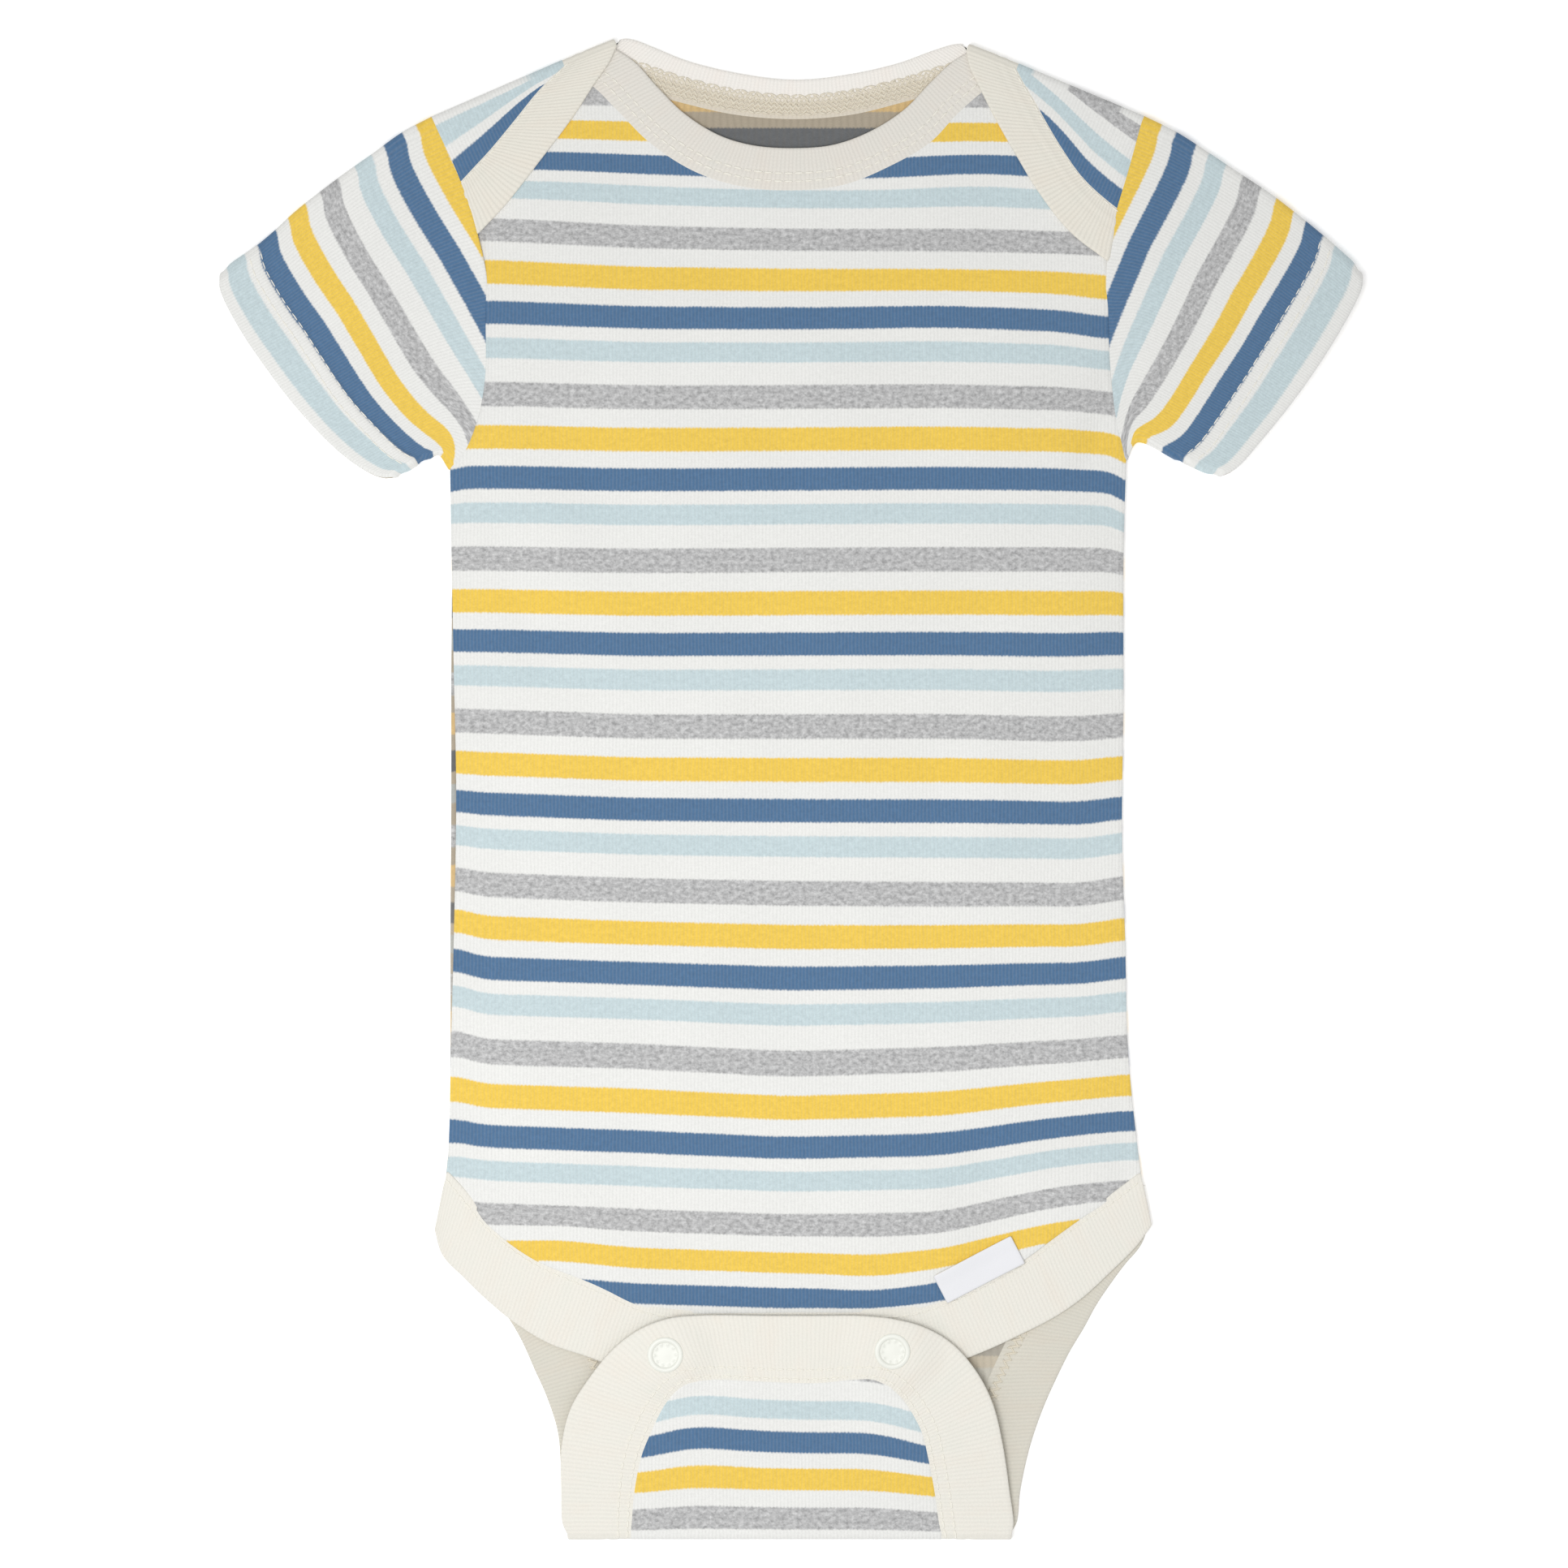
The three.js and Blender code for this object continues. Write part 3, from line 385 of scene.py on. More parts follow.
def shader_group(name, inputs, outputs):
    """A node group with named sockets, given as name and kind, and a value for the inputs."""
    tree = bpy.data.node_groups.new(name, "ShaderNodeTree")
    kinds = {"float": "NodeSocketFloat", "vector": "NodeSocketVector", "colour": "NodeSocketColor"}
    for label, kind, value in inputs:
        socket = tree.interface.new_socket(label, in_out="INPUT", socket_type=kinds[kind])
        if value is not None:
            socket.default_value = value
    for label, kind in outputs:
        tree.interface.new_socket(label, in_out="OUTPUT", socket_type=kinds[kind])
    start = tree.nodes.new("NodeGroupInput")
    end = tree.nodes.new("NodeGroupOutput")
    return tree, start.outputs, end.inputs


def colour(red, green, blue):
    """A cloth's own colour from the look of it on a screen, 0 to 255."""
    look = np.array([red, green, blue]) / 255
    light = np.where(look <= 0.04045, look / 12.92, ((look + 0.055) / 1.055) ** 2.4)
    return (*(float(c) for c in light), 1.0)


# Knit: columns of loops along the cloth's second axis. Height is 0 to 1, Groove marks the
# furrows between the columns, Fuzz is the loose fibre over them.
knit_tree, knit_in, knit_out = shader_group(
    "knit",
    [("Place", "vector", None), ("Wale", "float", 0.001), ("Course", "float", 0.0008)],
    [("Height", "float"), ("Groove", "float"), ("Fuzz", "float")],
)
t = knit_tree
place = add_node(t, "ShaderNodeSeparateXYZ", knit_in["Place"]).outputs
sway = add_node(t, "ShaderNodeTexNoise", knit_in["Place"], None, 160.0, 2.0).outputs[0]
wander = sums(t, "MULTIPLY", sums(t, "SUBTRACT", sway, 0.5), 0.6)
across = sums(t, "ADD", sums(t, "DIVIDE", place[0], knit_in["Wale"]), wander)
off = sums(t, "ABSOLUTE", sums(t, "SUBTRACT", sums(t, "FRACT", across), 0.5))
ridge = sums(t, "COSINE", sums(t, "MULTIPLY", off, math.pi))
down = sums(t, "ADD", sums(t, "DIVIDE", place[1], knit_in["Course"]), off)
loop = sums(t, "ABSOLUTE", sums(t, "SINE", sums(t, "MULTIPLY", down, math.pi)))
height = sums(t, "MULTIPLY", ridge, sums(t, "MULTIPLY_ADD", loop, 0.4, 0.6))
grain = add_node(t, "ShaderNodeTexNoise", knit_in["Place"], None, 1900.0, 3.0, 0.6).outputs[0]
t.links.new(sums(t, "MULTIPLY_ADD", sums(t, "SUBTRACT", grain, 0.5), 0.5, height), knit_out["Height"])
t.links.new(sums(t, "SUBTRACT", 1.0, ridge), knit_out["Groove"])
t.links.new(grain, knit_out["Fuzz"])

# Print: one repeat has a grey, a yellow, a navy and a pale blue stripe on the white ground.
# Place's second number counts the repeats down the cloth, and Loops is the knit's own place.
GROUND = colour(234, 234, 231)
GREY_DARK = colour(140, 140, 141)
GREY_LIGHT = colour(218, 218, 218)
STRIPES = [
    # name, middle and width as shares of the repeat, colour
    ("Grey", 0.0, 0.148, colour(184, 184, 184)),
    ("Yellow", 0.26, 0.144, colour(238, 201, 84)),
    ("Navy", 0.505, 0.14, colour(80, 114, 150)),
    ("Pale", 0.72, 0.125, colour(197, 213, 217)),
]
print_tree, print_in, print_out = shader_group(
    "print",
    [
        ("Place", "vector", None), ("Loops", "vector", None), ("Wale", "float", 0.001),
        ("Groove", "float", 0.0), ("Ground", "colour", GROUND),
        *((name, "colour", ink) for name, _, _, ink in STRIPES),
    ],
    [("Color", "colour"), ("Ink", "float")],
)
t = print_tree
loops = add_node(t, "ShaderNodeSeparateXYZ", print_in["Loops"]).outputs
tooth = sums(t, "PINGPONG", sums(t, "DIVIDE", loops[0], print_in["Wale"]), 0.5)
ragged = add_node(t, "ShaderNodeTexNoise", print_in["Loops"], None, 900.0, 2.0).outputs[0]
jag = sums(t, "MULTIPLY_ADD", sums(t, "SUBTRACT", ragged, 0.5), 0.012, sums(t, "MULTIPLY", tooth, 0.008))
at = sums(t, "ADD", add_node(t, "ShaderNodeSeparateXYZ", print_in["Place"]).outputs[1], jag)
blotch = add_node(t, "ShaderNodeMapping", print_in["Loops"])
blotch.inputs["Scale"].default_value = (0.75, 1.0, 1.0)
mottle = add_node(t, "ShaderNodeTexNoise", blotch.outputs[0], None, 950.0, 4.0, 0.7).outputs[0]
heather = add_node(t, "ShaderNodeMapRange", mottle, 0.32, 0.68, 0.0, 1.0).outputs[0]
melange = blended(t, heather, GREY_DARK, GREY_LIGHT)
cloth_colour = print_in["Ground"]
ink = None
for name, middle, width, _ in STRIPES:
    away = sums(t, "ABSOLUTE", sums(t, "WRAP", sums(t, "SUBTRACT", at, middle), 0.5, -0.5))
    mask = add_node(
        t, "ShaderNodeMapRange", away, width / 2 - 0.008, width / 2 + 0.008, 1.0, 0.0,
        interpolation_type="SMOOTHSTEP",
    ).outputs[0]
    mask = sums(t, "MULTIPLY", mask, sums(t, "MULTIPLY_ADD", print_in["Groove"], -0.07, 1.0))
    own = print_in[name]
    if name == "Grey":
        own = blended(t, 0.8, own, melange)
    cloth_colour = blended(t, mask, cloth_colour, own)
    ink = mask if ink is None else sums(t, "MAXIMUM", ink, mask)
yarn = add_node(t, "ShaderNodeTexNoise", print_in["Loops"], None, 780.0, 4.0, 0.75).outputs[0]
drift = add_node(t, "ShaderNodeTexNoise", print_in["Loops"], None, 34.0, 2.0).outputs[0]
fleck = sums(t, "MULTIPLY", sums(t, "SUBTRACT", yarn, 0.5), sums(t, "MULTIPLY_ADD", ink, 0.32, 0.16))
tone = sums(t, "ADD", sums(t, "MULTIPLY_ADD", sums(t, "SUBTRACT", drift, 0.5), 0.07, 1.0), fleck)
tone = add_node(t, "ShaderNodeCombineColor", tone, tone, tone).outputs[0]
cloth_colour = blended(t, 1.0, cloth_colour, tone, "MULTIPLY")
t.links.new(cloth_colour, print_out["Color"])
t.links.new(ink, print_out["Ink"])


def plain_material(name, specular):
    """A new material, its tree and its shader."""
    made = bpy.data.materials.new(name)
    made.use_nodes = True
    shader = made.node_tree.nodes["Principled BSDF"]
    shader.inputs["Specular IOR Level"].default_value = specular
    return made, made.node_tree, shader


def relief(tree, shader, height, strength, depth):
    """A bump of the shader's surface, depth in metres."""
    bump = add_node(tree, "ShaderNodeBump")
    bump.inputs["Strength"].default_value = strength
    bump.inputs["Distance"].default_value = depth
    tree.links.new(height, bump.inputs["Height"])
    tree.links.new(bump.outputs[0], shader.inputs["Normal"])


def cloth_material(name, sheen=0.12):
    """A matt cotton with its shader and the map of its own flat place."""
    made, tree, shader = plain_material(name, 0.18)
    shader.inputs["Sheen Weight"].default_value = sheen
    shader.inputs["Sheen Roughness"].default_value = 0.5
    knit = add_node(tree, "ShaderNodeUVMap", uv_map="knit").outputs[0]
    return made, tree, shader, knit


def use_group(tree, group, **values):
    """A shader group placed in a material."""
    made = tree.nodes.new("ShaderNodeGroup")
    made.node_tree = group
    for key, value in values.items():
        if isinstance(value, bpy.types.NodeSocket):
            tree.links.new(value, made.inputs[key])
        else:
            made.inputs[key].default_value = value
    return made.outputs


def surface(tree, shader, own, loops, shade, depth, fibre=0.14):
    """Furrow shade, fibre and relief of a knit on its own colour."""
    dark = sums(tree, "MULTIPLY_ADD", loops["Groove"], -shade, 1.0)
    lint = sums(tree, "MULTIPLY_ADD", sums(tree, "SUBTRACT", loops["Fuzz"], 0.5), fibre, dark)
    tone = add_node(tree, "ShaderNodeCombineColor", lint, lint, lint).outputs[0]
    tree.links.new(blended(tree, 1.0, own, tone, "MULTIPLY"), shader.inputs["Base Color"])
    fuzz = sums(tree, "MULTIPLY_ADD", loops["Fuzz"], 0.1, 0.87)
    tree.links.new(fuzz, shader.inputs["Roughness"])
    relief(tree, shader, loops["Height"], 0.6, depth)


jersey, tree, shader, knit = cloth_material("striped_jersey")
loops = use_group(tree, knit_tree, Place=knit, Wale=JERSEY_WALE, Course=0.0008)
printed = add_node(tree, "ShaderNodeUVMap", uv_map="stripe").outputs[0]
inks = use_group(
    tree, print_tree, Place=printed, Loops=knit, Wale=JERSEY_WALE, Groove=loops["Groove"]
)
surface(tree, shader, inks["Color"], loops, 0.06, 0.0001, fibre=0.2)

# The wrong side of the print: the white ground looks through, and the stripes are muted. Its ground and
# stripes are darkened with painted shade, as deep inside the neck, and that painted shade is lightened
# towards the leg openings.
reverse, tree, shader, knit = cloth_material("striped_jersey_reverse")
loops = use_group(tree, knit_tree, Place=knit, Wale=0.0019, Course=0.0006)
printed = add_node(tree, "ShaderNodeUVMap", uv_map="stripe").outputs[0]
inks = use_group(
    tree, print_tree, Place=printed, Loops=knit, Wale=JERSEY_WALE, Groove=loops["Groove"],
    Ground=colour(174, 163, 145), Grey=colour(160, 156, 150), Yellow=colour(214, 184, 132),
    Navy=colour(106, 108, 110), Pale=colour(176, 178, 174),
)
# Painted shade by height on the back: full up at the neck, less down towards the leg openings.
spot = add_node(tree, "ShaderNodeTexCoord").outputs["Object"]
up_the_back = add_node(tree, "ShaderNodeSeparateXYZ", spot).outputs[1]
at_leg = add_node(tree, "ShaderNodeMapRange", up_the_back, -0.02, -0.11, 0.0, 1.0).outputs[0]
less_shade_at_leg = blended(tree, 0.45, inks["Color"], colour(228, 219, 200))
surface(tree, shader, blended(tree, at_leg, inks["Color"], less_shade_at_leg), loops, 0.1, 0.00012)

BACK_STRIPES = [
    # height on the flat cloth, repeats
    (-314.2, 12.72), (-235.6, 10.72), (-206.4, 10.0), (-198.4, 9.796), (-33.0, 5.5), (27.9, 4.0),
    (173.4, 0.505), (183.6, 0.26), (205.6, -0.28),
]
TAIL_BOW = [
    # x, how far the stripes of the tail sag there
    (-55.0, 3.0), (-37.8, 1.7), (-31.3, -0.9), (-22.7, -1.5), (-11.9, -0.4), (-1.1, 0.0),
    (9.7, 0.2), (20.5, 0.0), (29.2, 1.8), (35.7, 3.9), (50.0, 7.0),
]


def back_repeats(flat_y):
    """Repeats of the print at a height of the flat back."""
    table = np.array(BACK_STRIPES)
    return np.interp(flat_y, table[:, 0], table[:, 1])


LAP_FOLD_STRIPES = {
    # share of the fold from the armhole to the neck, repeats there
    "left": [(0.0, -0.2), (0.6, -0.205), (1.0, -0.25)],
    "right": [(0.0, 0.12), (0.44, 0.0), (0.98, -0.27), (1.0, -0.28)],
}
LAP_SEAM_STRIPES = {
    # share of the band's seam from the armhole to the neck, repeats there
    "left": [(0.0, -0.545), (0.6, -0.55), (0.76, -0.49), (0.88, -0.38), (1.0, -0.28)],
    "right": [(0.0, -0.55), (0.45, -0.54), (0.62, -0.49), (0.8, -0.39), (1.0, -0.28)],
}


def along_table(table, at):
    """Values between the rows of a short table."""
    table = np.array(table)
    return np.interp(at, table[:, 0], table[:, 1])


def back_print(plan):
    """Repeats on the flat back, with the droop towards the shoulder folds."""
    x, y = plan[..., 0], plan[..., 1]
    value = back_repeats(y)
    for side, fold in (("left", SHOULDER_LEFT), ("right", SHOULDER_RIGHT)):
        away = (plan - fold["at"]) @ fold["out"]
        foot = plan - away[..., None] * fold["out"]
        along = np.clip(np.linalg.norm(foot - fold["at"], axis=-1) / fold["long"], 0, 1)
        droop = along_table(LAP_FOLD_STRIPES[side], along) - back_repeats(foot[..., 1])
        value = value + droop * (1 - smooth(-away, 0, 34)) * smooth(np.abs(x), 34, 60)
    return value


def rounded_line(x, places, heights, reach=110, step=2.0, blur=13):
    """Values at x of the line through a few places, with its corners rounded."""
    fine = np.arange(-reach, reach + step / 2, step)
    row = np.interp(fine, places, heights)
    weights = np.hanning(blur)[1:-1]
    pad = len(weights) // 2
    even = np.convolve(np.pad(row, pad, mode="edge"), weights / weights.sum(), mode="valid")
    return np.interp(x, fine, even)


def tail_print(plan):
    """Repeats on the tail, from the fold up."""
    x, y = plan[..., 0], plan[..., 1]
    share = np.interp(y, [-198.0, -194.2, -184.1, -174.7, -165.0], [0.1, 0.25, 0.5, 1.0, 1.1])
    sag = rounded_line(x, *np.array(TAIL_BOW).T) * share
    return back_repeats(2 * CROTCH_Y - TAIL_ROLL - (y + sag))


SHOULDER_COLUMNS = 14
NECK_COLUMNS = 52
arm_left = evenly(ARMHOLE_LEFT, 44)
arm_right = evenly(ARMHOLE_RIGHT, 44)
seam = np.array(NECK_BACK)[:, :2]
neck_line = evenly(seam, NECK_COLUMNS)
fold_left = straight(ARM_TOP_LEFT, NECK_SEAM_LEFT, SHOULDER_COLUMNS)
fold_right = straight(NECK_SEAM_RIGHT, ARM_TOP_RIGHT, SHOULDER_COLUMNS)
top = np.concatenate([fold_left, neck_line[1:], fold_right[1:]])
columns = len(top) - 1
chest = straight(ARMHOLE_LEFT[-1], ARMHOLE_RIGHT[-1], columns)
hip = straight(SIDE_LEFT[-1], SIDE_RIGHT[-1], columns)
crotch = straight(TAIL_SEAM_LEFT, TAIL_SEAM_RIGHT, columns)
yoke = patch(chest, top, arm_left[::-1], arm_right[::-1])
torso = patch(hip, chest, evenly(SIDE_LEFT, 70)[::-1], evenly(SIDE_RIGHT, 70)[::-1])
leg_left = evenly(np.array(LEG_BACK_LEFT)[:, :2], 44)[::-1]
leg_right = evenly(np.array(LEG_BACK_RIGHT)[:, :2], 44)
seat = patch(crotch, hip, leg_left, leg_right)
tail_seam = np.array(TAIL)[:, :2]
tail = patch(
    crotch, evenly(tail_seam[8:15], columns),
    evenly(tail_seam[:9], 34), evenly(tail_seam[14:], 34)[::-1],
)
back_leaves = [leaf(lifted(g, JERSEY / 2), g, back_print(g)) for g in (yoke, torso, seat)]
tail_mid = lifted(tail, tail_height(tail[..., 0], tail[..., 1]))
back_leaves.append(leaf(tail_mid, tail * [1, -1], tail_print(tail), turned=True))
bend = rolled(crotch, CROTCH, JERSEY / 2, TAIL_FOLD_Z)
share = np.linspace(0, 1, len(bend))[:, None]
inner = back_print(crotch[None])
outer = tail_print(crotch[None])
bend_knit = np.stack(np.broadcast_arrays(crotch[:, 0], CROTCH_Y - TAIL_ROLL * share), 2)
back_leaves.append(leaf(bend, bend_knit, inner * (1 - share) + outer * share, turned=True))
for side, fold, row, table in (
    ("left", SHOULDER_LEFT, fold_left, LAP_LEFT),
    ("right", SHOULDER_RIGHT, fold_right, LAP_RIGHT),
):
    far = evenly(np.array(table)[:, :2], SHOULDER_COLUMNS)
    far = far[::-1] if side == "left" else far
    lap = between(row, far, 14)
    bend = rolled(row, fold, JERSEY / 2, LAP_Z)
    run = np.array([-fold["out"][1], fold["out"][0]])
    away = (lap - fold["at"]) @ fold["out"]
    lap_knit = np.stack([(lap - fold["at"]) @ run, away], 2)
    to_neck = np.linspace(0, 1, SHOULDER_COLUMNS + 1)
    to_neck = to_neck if side == "left" else to_neck[::-1]
    on_fold = along_table(LAP_FOLD_STRIPES[side], to_neck)
    on_seam = along_table(LAP_SEAM_STRIPES[side], to_neck)
    down = np.linspace(0, 1, len(lap))[:, None] ** (1.0 if side == "left" else 0.85)
    lap_stripe = on_fold * (1 - down) + on_seam * down
    bend_knit = np.repeat(lap_knit[:1], len(bend), axis=0)
    bend_knit[..., 1] += np.linspace(LAP_ROLL, 0, len(bend))[:, None]
    bend_stripe = np.repeat(lap_stripe[:1], len(bend), axis=0)
    back_leaves.append(leaf(bend, bend_knit, bend_stripe))
    back_leaves.append(leaf(lifted(lap, LAP_Z), lap_knit, lap_stripe))
back = sew("back_cloth", back_leaves, reverse, jersey)
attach(back, "root")
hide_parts("back_panel")

# Front
# The front is a second cut of the same jersey. It lies on the back, its shoulders tucked under
# the laps, and is a little fuller than the back, so it stands up in soft low creases.
FRONT_EDGE_Z = 1.8
FRONT_SEWN_Z = 1.55
FRONT_CROWN = 0.9
LEG_BAND_Z = 2.1
LEG_BAND_SNAP_RISE = 0.6
SIDE_LEFT_FRONT = [
    [-90.6, 86.0], [-90.2, 60.5], [-89.6, 30.0], [-89.0, -1.7], [-89.6, -38.5],
    [-90.4, -69.2], [-91.0, -95.1], [-91.7, -103.0],
]
NECK_FRONT = [
    [-60.0, 191.4, -47.5, 197.1], [-52.8, 188.0, -42.0, 193.4], [-46.0, 181.5, -35.9, 186.7],
    [-36.9, 172.5, -28.9, 179.8], [-25.0, 165.0, -19.5, 173.9], [-12.5, 161.2, -10.0, 171.1],
    [0.8, 160.3, 1.2, 170.4], [13.9, 161.8, 11.3, 171.3], [25.4, 166.4, 21.2, 174.9],
    [36.4, 172.8, 30.4, 180.8], [44.3, 181.0, 37.4, 188.0], [52.4, 187.6, 42.9, 193.2],
    [59.5, 190.6, 47.2, 195.9],
]
LEG_FRONT = [
    [-91.7, -103.0, -94.6, -117.6], [-87.1, -108.1, -92.6, -124.0], [-81.3, -115.3, -86.5, -130.4],
    [-74.8, -120.9, -79.8, -136.8], [-67.0, -125.9, -72.5, -142.6], [-57.3, -129.9, -64.0, -147.6],
    [-49.2, -133.4, -54.6, -150.8], [-40.9, -137.4, -46.0, -153.8], [-32.0, -139.4, -33.5, -155.6],
    [-16.0, -139.6, -16.5, -155.6], [-1.1, -139.4, -1.1, -155.4], [15.0, -139.4, 15.5, -155.5],
    [29.4, -139.2, 31.3, -155.4], [37.0, -137.4, 42.5, -152.8], [45.5, -134.2, 52.0, -149.2],
    [54.5, -129.6, 60.8, -145.1], [62.5, -124.8, 69.6, -140.6], [69.8, -119.4, 77.2, -135.4],
    [77.6, -113.9, 84.6, -128.6], [85.4, -109.0, 91.6, -121.6], [93.0, -103.4, 95.6, -116.2],
]
CREASES = [
    # from x, y, to x, y, half its width, rise
    (-84, 84, -70, 40, 4, -0.7), (-78, 118, -60, 60, 7, 0.5), (84, 124, 66, 70, 6, 0.6),
    (86, 100, 56, 52, 4.5, -0.65), (62, 60, 50, -20, 10, 0.5), (-60, 20, -52, -60, 11, 0.5),
    (-20, 100, -8, 10, 12, -0.4), (12, 60, 22, -60, 12, 0.45), (46, -92, 64, -116, 4, -0.65),
    (26, -84, 44, -124, 6, 0.55), (-72, -92, -50, -118, 6, 0.5), (-34, -118, -10, -132, 6, -0.4),
]
FRONT_PULLS = [
    # x, y, reach across, reach up and down, how far the print is pulled up there
    (-90, -55, 6, 50, 2.1), (0, -90, 300, 22, -1.1), (22, -131, 14, 12, -1.5),
    (-60, -122, 12, 8, 0.9), (-58, 164, 34, 12, 1.0), (52, 165, 22, 12, 1.6),
    (84, 124, 9, 14, -1.1), (40, 126, 26, 8, 0.5), (91, 80, 4.5, 24, -3.0),
    (79, -25, 9, 42, -0.9), (-92, 84, 4, 10, -1.2),
]
FRONT_STRIPE_X = [-81.1, -42.2, -1.1, 40.0, 70.3, 86.5]
FRONT_STRIPES = [
    # heights of the middles of the grey stripes at those places, from the shoulders down
    [185.1, 184.6, 184.4, 184.2, 183.8, 183.5], [149.2, 147.1, 146.4, 146.2, 145.6, 145.1],
    [105.1, 104.2, 104.3, 104.6, 103.9, 102.7], [61.3, 60.6, 60.9, 61.1, 61.1, 61.0],
    [17.9, 16.5, 16.5, 16.6, 15.8, 17.0], [-25.6, -27.1, -27.9, -28.2, -28.2, -26.2],
    [-69.7, -70.7, -72.8, -71.6, -69.7, -68.3], [-113.1, -114.8, -116.2, -115.5, -108.3, -106.5],
    [-149.8, -153.9, -155.0, -152.0, -144.4, -142.3],
]


def soft_waves(x, y, seed, lengths, count=14):
    """Gentle uneven waves of unit size, the same on every run."""
    rng = np.random.default_rng(seed)
    total = np.zeros(np.shape(x))
    for _ in range(count):
        turn = rng.uniform(0, math.pi)
        wave = 2 * math.pi / rng.uniform(*lengths)
        shift = rng.uniform(0, 2 * math.pi)
        total += np.sin(wave * (x * math.cos(turn) + y * math.sin(turn)) + shift)
    return total / math.sqrt(count)


def crease(row, x, y):
    """Height of one soft crease line."""
    x0, y0, x1, y1, half, rise = row
    dx, dy = x1 - x0, y1 - y0
    length = math.hypot(dx, dy)
    along = ((x - x0) * dx + (y - y0) * dy) / length**2
    off = ((x - x0) * -dy + (y - y0) * dx) / length
    taper = smooth(along, -0.25, 0.25) * (1 - smooth(along, 0.75, 1.25))
    return rise * taper * np.exp(-((off / half) ** 2))


def front_height(x, y):
    """Middle of the front over the surface."""
    room = (1 - smooth(np.abs(x), 72, 90)) * (1 - smooth(y, 118, 152)) * smooth(y, -140, -112)
    z = FRONT_EDGE_Z + FRONT_CROWN * room
    for row in CREASES:
        z = z + crease(row, x, y) * np.minimum(1, room * 1.6)
    z = z + (LEG_BAND_Z - FRONT_EDGE_Z) * (1 - smooth(y, -140, -120)) * (1 - smooth(np.abs(x), 72, 90))
    z = z + 0.15 * soft_waves(x, y, 3, (14, 46)) * np.minimum(1, room * 2)
    z = np.maximum(FRONT_EDGE_Z, z)
    side = smooth(np.abs(x), 83, 89.5) * (1 - smooth(y, 70, 96))
    return z - (FRONT_EDGE_Z - FRONT_SEWN_Z) * side


def front_print(plan):
    """Repeats on the front, between the grey stripes' own lines."""
    x, y = plan[..., 0].ravel(), plan[..., 1].ravel()
    for at_x, at_y, wide, high, pull in FRONT_PULLS:
        y = y - pull * np.exp(-(((x - at_x) / wide) ** 2) - ((plan[..., 1].ravel() - at_y) / high) ** 2)
    lines = np.array([rounded_line(x, FRONT_STRIPE_X, heights) for heights in FRONT_STRIPES])
    above = np.clip((lines > y).sum(axis=0) - 1, 0, len(lines) - 2)
    pick = np.arange(len(x))
    high, low = lines[above, pick], lines[above + 1, pick]
    return (above - 1 + (high - y) / (high - low)).reshape(plan.shape[:2])


SHOULDER_INSET = 0.6
front_arm_left = arm_left.copy()
front_arm_left[0] -= SHOULDER_LEFT["out"] * SHOULDER_INSET
front_arm_right = arm_right.copy()
front_arm_right[0] -= SHOULDER_RIGHT["out"] * SHOULDER_INSET
neck_line = evenly(np.array(NECK_FRONT)[:, :2], 88)
top = np.concatenate([
    straight(front_arm_left[0], neck_line[0], 16),
    neck_line[1:],
    straight(neck_line[-1], front_arm_right[0], 16)[1:],
])
columns = len(top) - 1
chest = straight(ARMHOLE_LEFT[-1], ARMHOLE_RIGHT[-1], columns)
yoke = patch(chest, top, front_arm_left[::-1], front_arm_right[::-1])
leg_seam = evenly(np.array(LEG_FRONT)[:, :2], columns)
body = patch(leg_seam, chest, evenly(SIDE_LEFT_FRONT, 124)[::-1], evenly(SIDE_RIGHT, 124)[::-1])
front_leaves = [
    leaf(lifted(g, front_height(g[..., 0], g[..., 1])), g, front_print(g)) for g in (yoke, body)
]
front = sew("front_cloth", front_leaves, jersey, reverse)
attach(front, "root")
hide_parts("front_panel")

# Sleeves
# Each short sleeve is one cut of the jersey, sewn to a tube and into the armhole. Its stripes
# run round the arm, and its edge is turned up and stitched down.
HEM_THICKNESS = 2.0
HEM_LINE = 0.28
HEM_ROWS = (0.0, -3.0)
SHOULDER_ROLL = 1.5
UNDERARM_ROLL = 0.65
SLEEVE_ACROSS = 92
HEM_ROLL = 1.3
SLEEVES = {
    "left": {
        "fold": SHOULDER_LEFT,
        "top": [
            [-95.1, 179.6], [-104.0, 174.9], [-111.3, 169.6], [-118.7, 164.4], [-125.6, 159.2],
            [-132.3, 153.9], [-137.7, 148.9], [-143.8, 143.9], [-152.3, 138.2],
        ],
        "hem": [
            [-152.3, 138.2], [-151.2, 132.6], [-146.2, 122.8], [-139.2, 112.4], [-131.2, 102.0],
            [-121.5, 91.7], [-115.5, 86.9], [-110.0, 84.0], [-104.2, 82.8],
        ],
        "under": [[-90.9, 86.9], [-94.3, 89.0], [-99.5, 86.2], [-104.2, 82.8]],
        "outward": -1,
        "armhole": arm_left,
    },
    "right": {
        "fold": SHOULDER_RIGHT,
        "top": [
            [93.2, 179.8], [102.9, 175.0], [111.6, 169.4], [119.1, 164.4], [127.0, 159.2],
            [134.0, 153.9], [140.2, 148.9], [145.9, 143.8], [152.3, 138.2],
        ],
        "hem": [
            [152.3, 138.2], [150.9, 132.8], [145.7, 122.8], [139.2, 112.4], [131.7, 102.0],
            [123.7, 92.2], [118.7, 86.5], [113.5, 82.6],
        ],
        "under": [[89.2, 89.2], [92.2, 92.3], [103.8, 87.0], [113.5, 82.6]],
        "outward": 1,
        "armhole": arm_right,
    },
}
SLEEVE_REPEATS = [0.83, 0.72, 0.505, 0.26, 0.0, -0.28, -0.495, -0.74, -1.0]
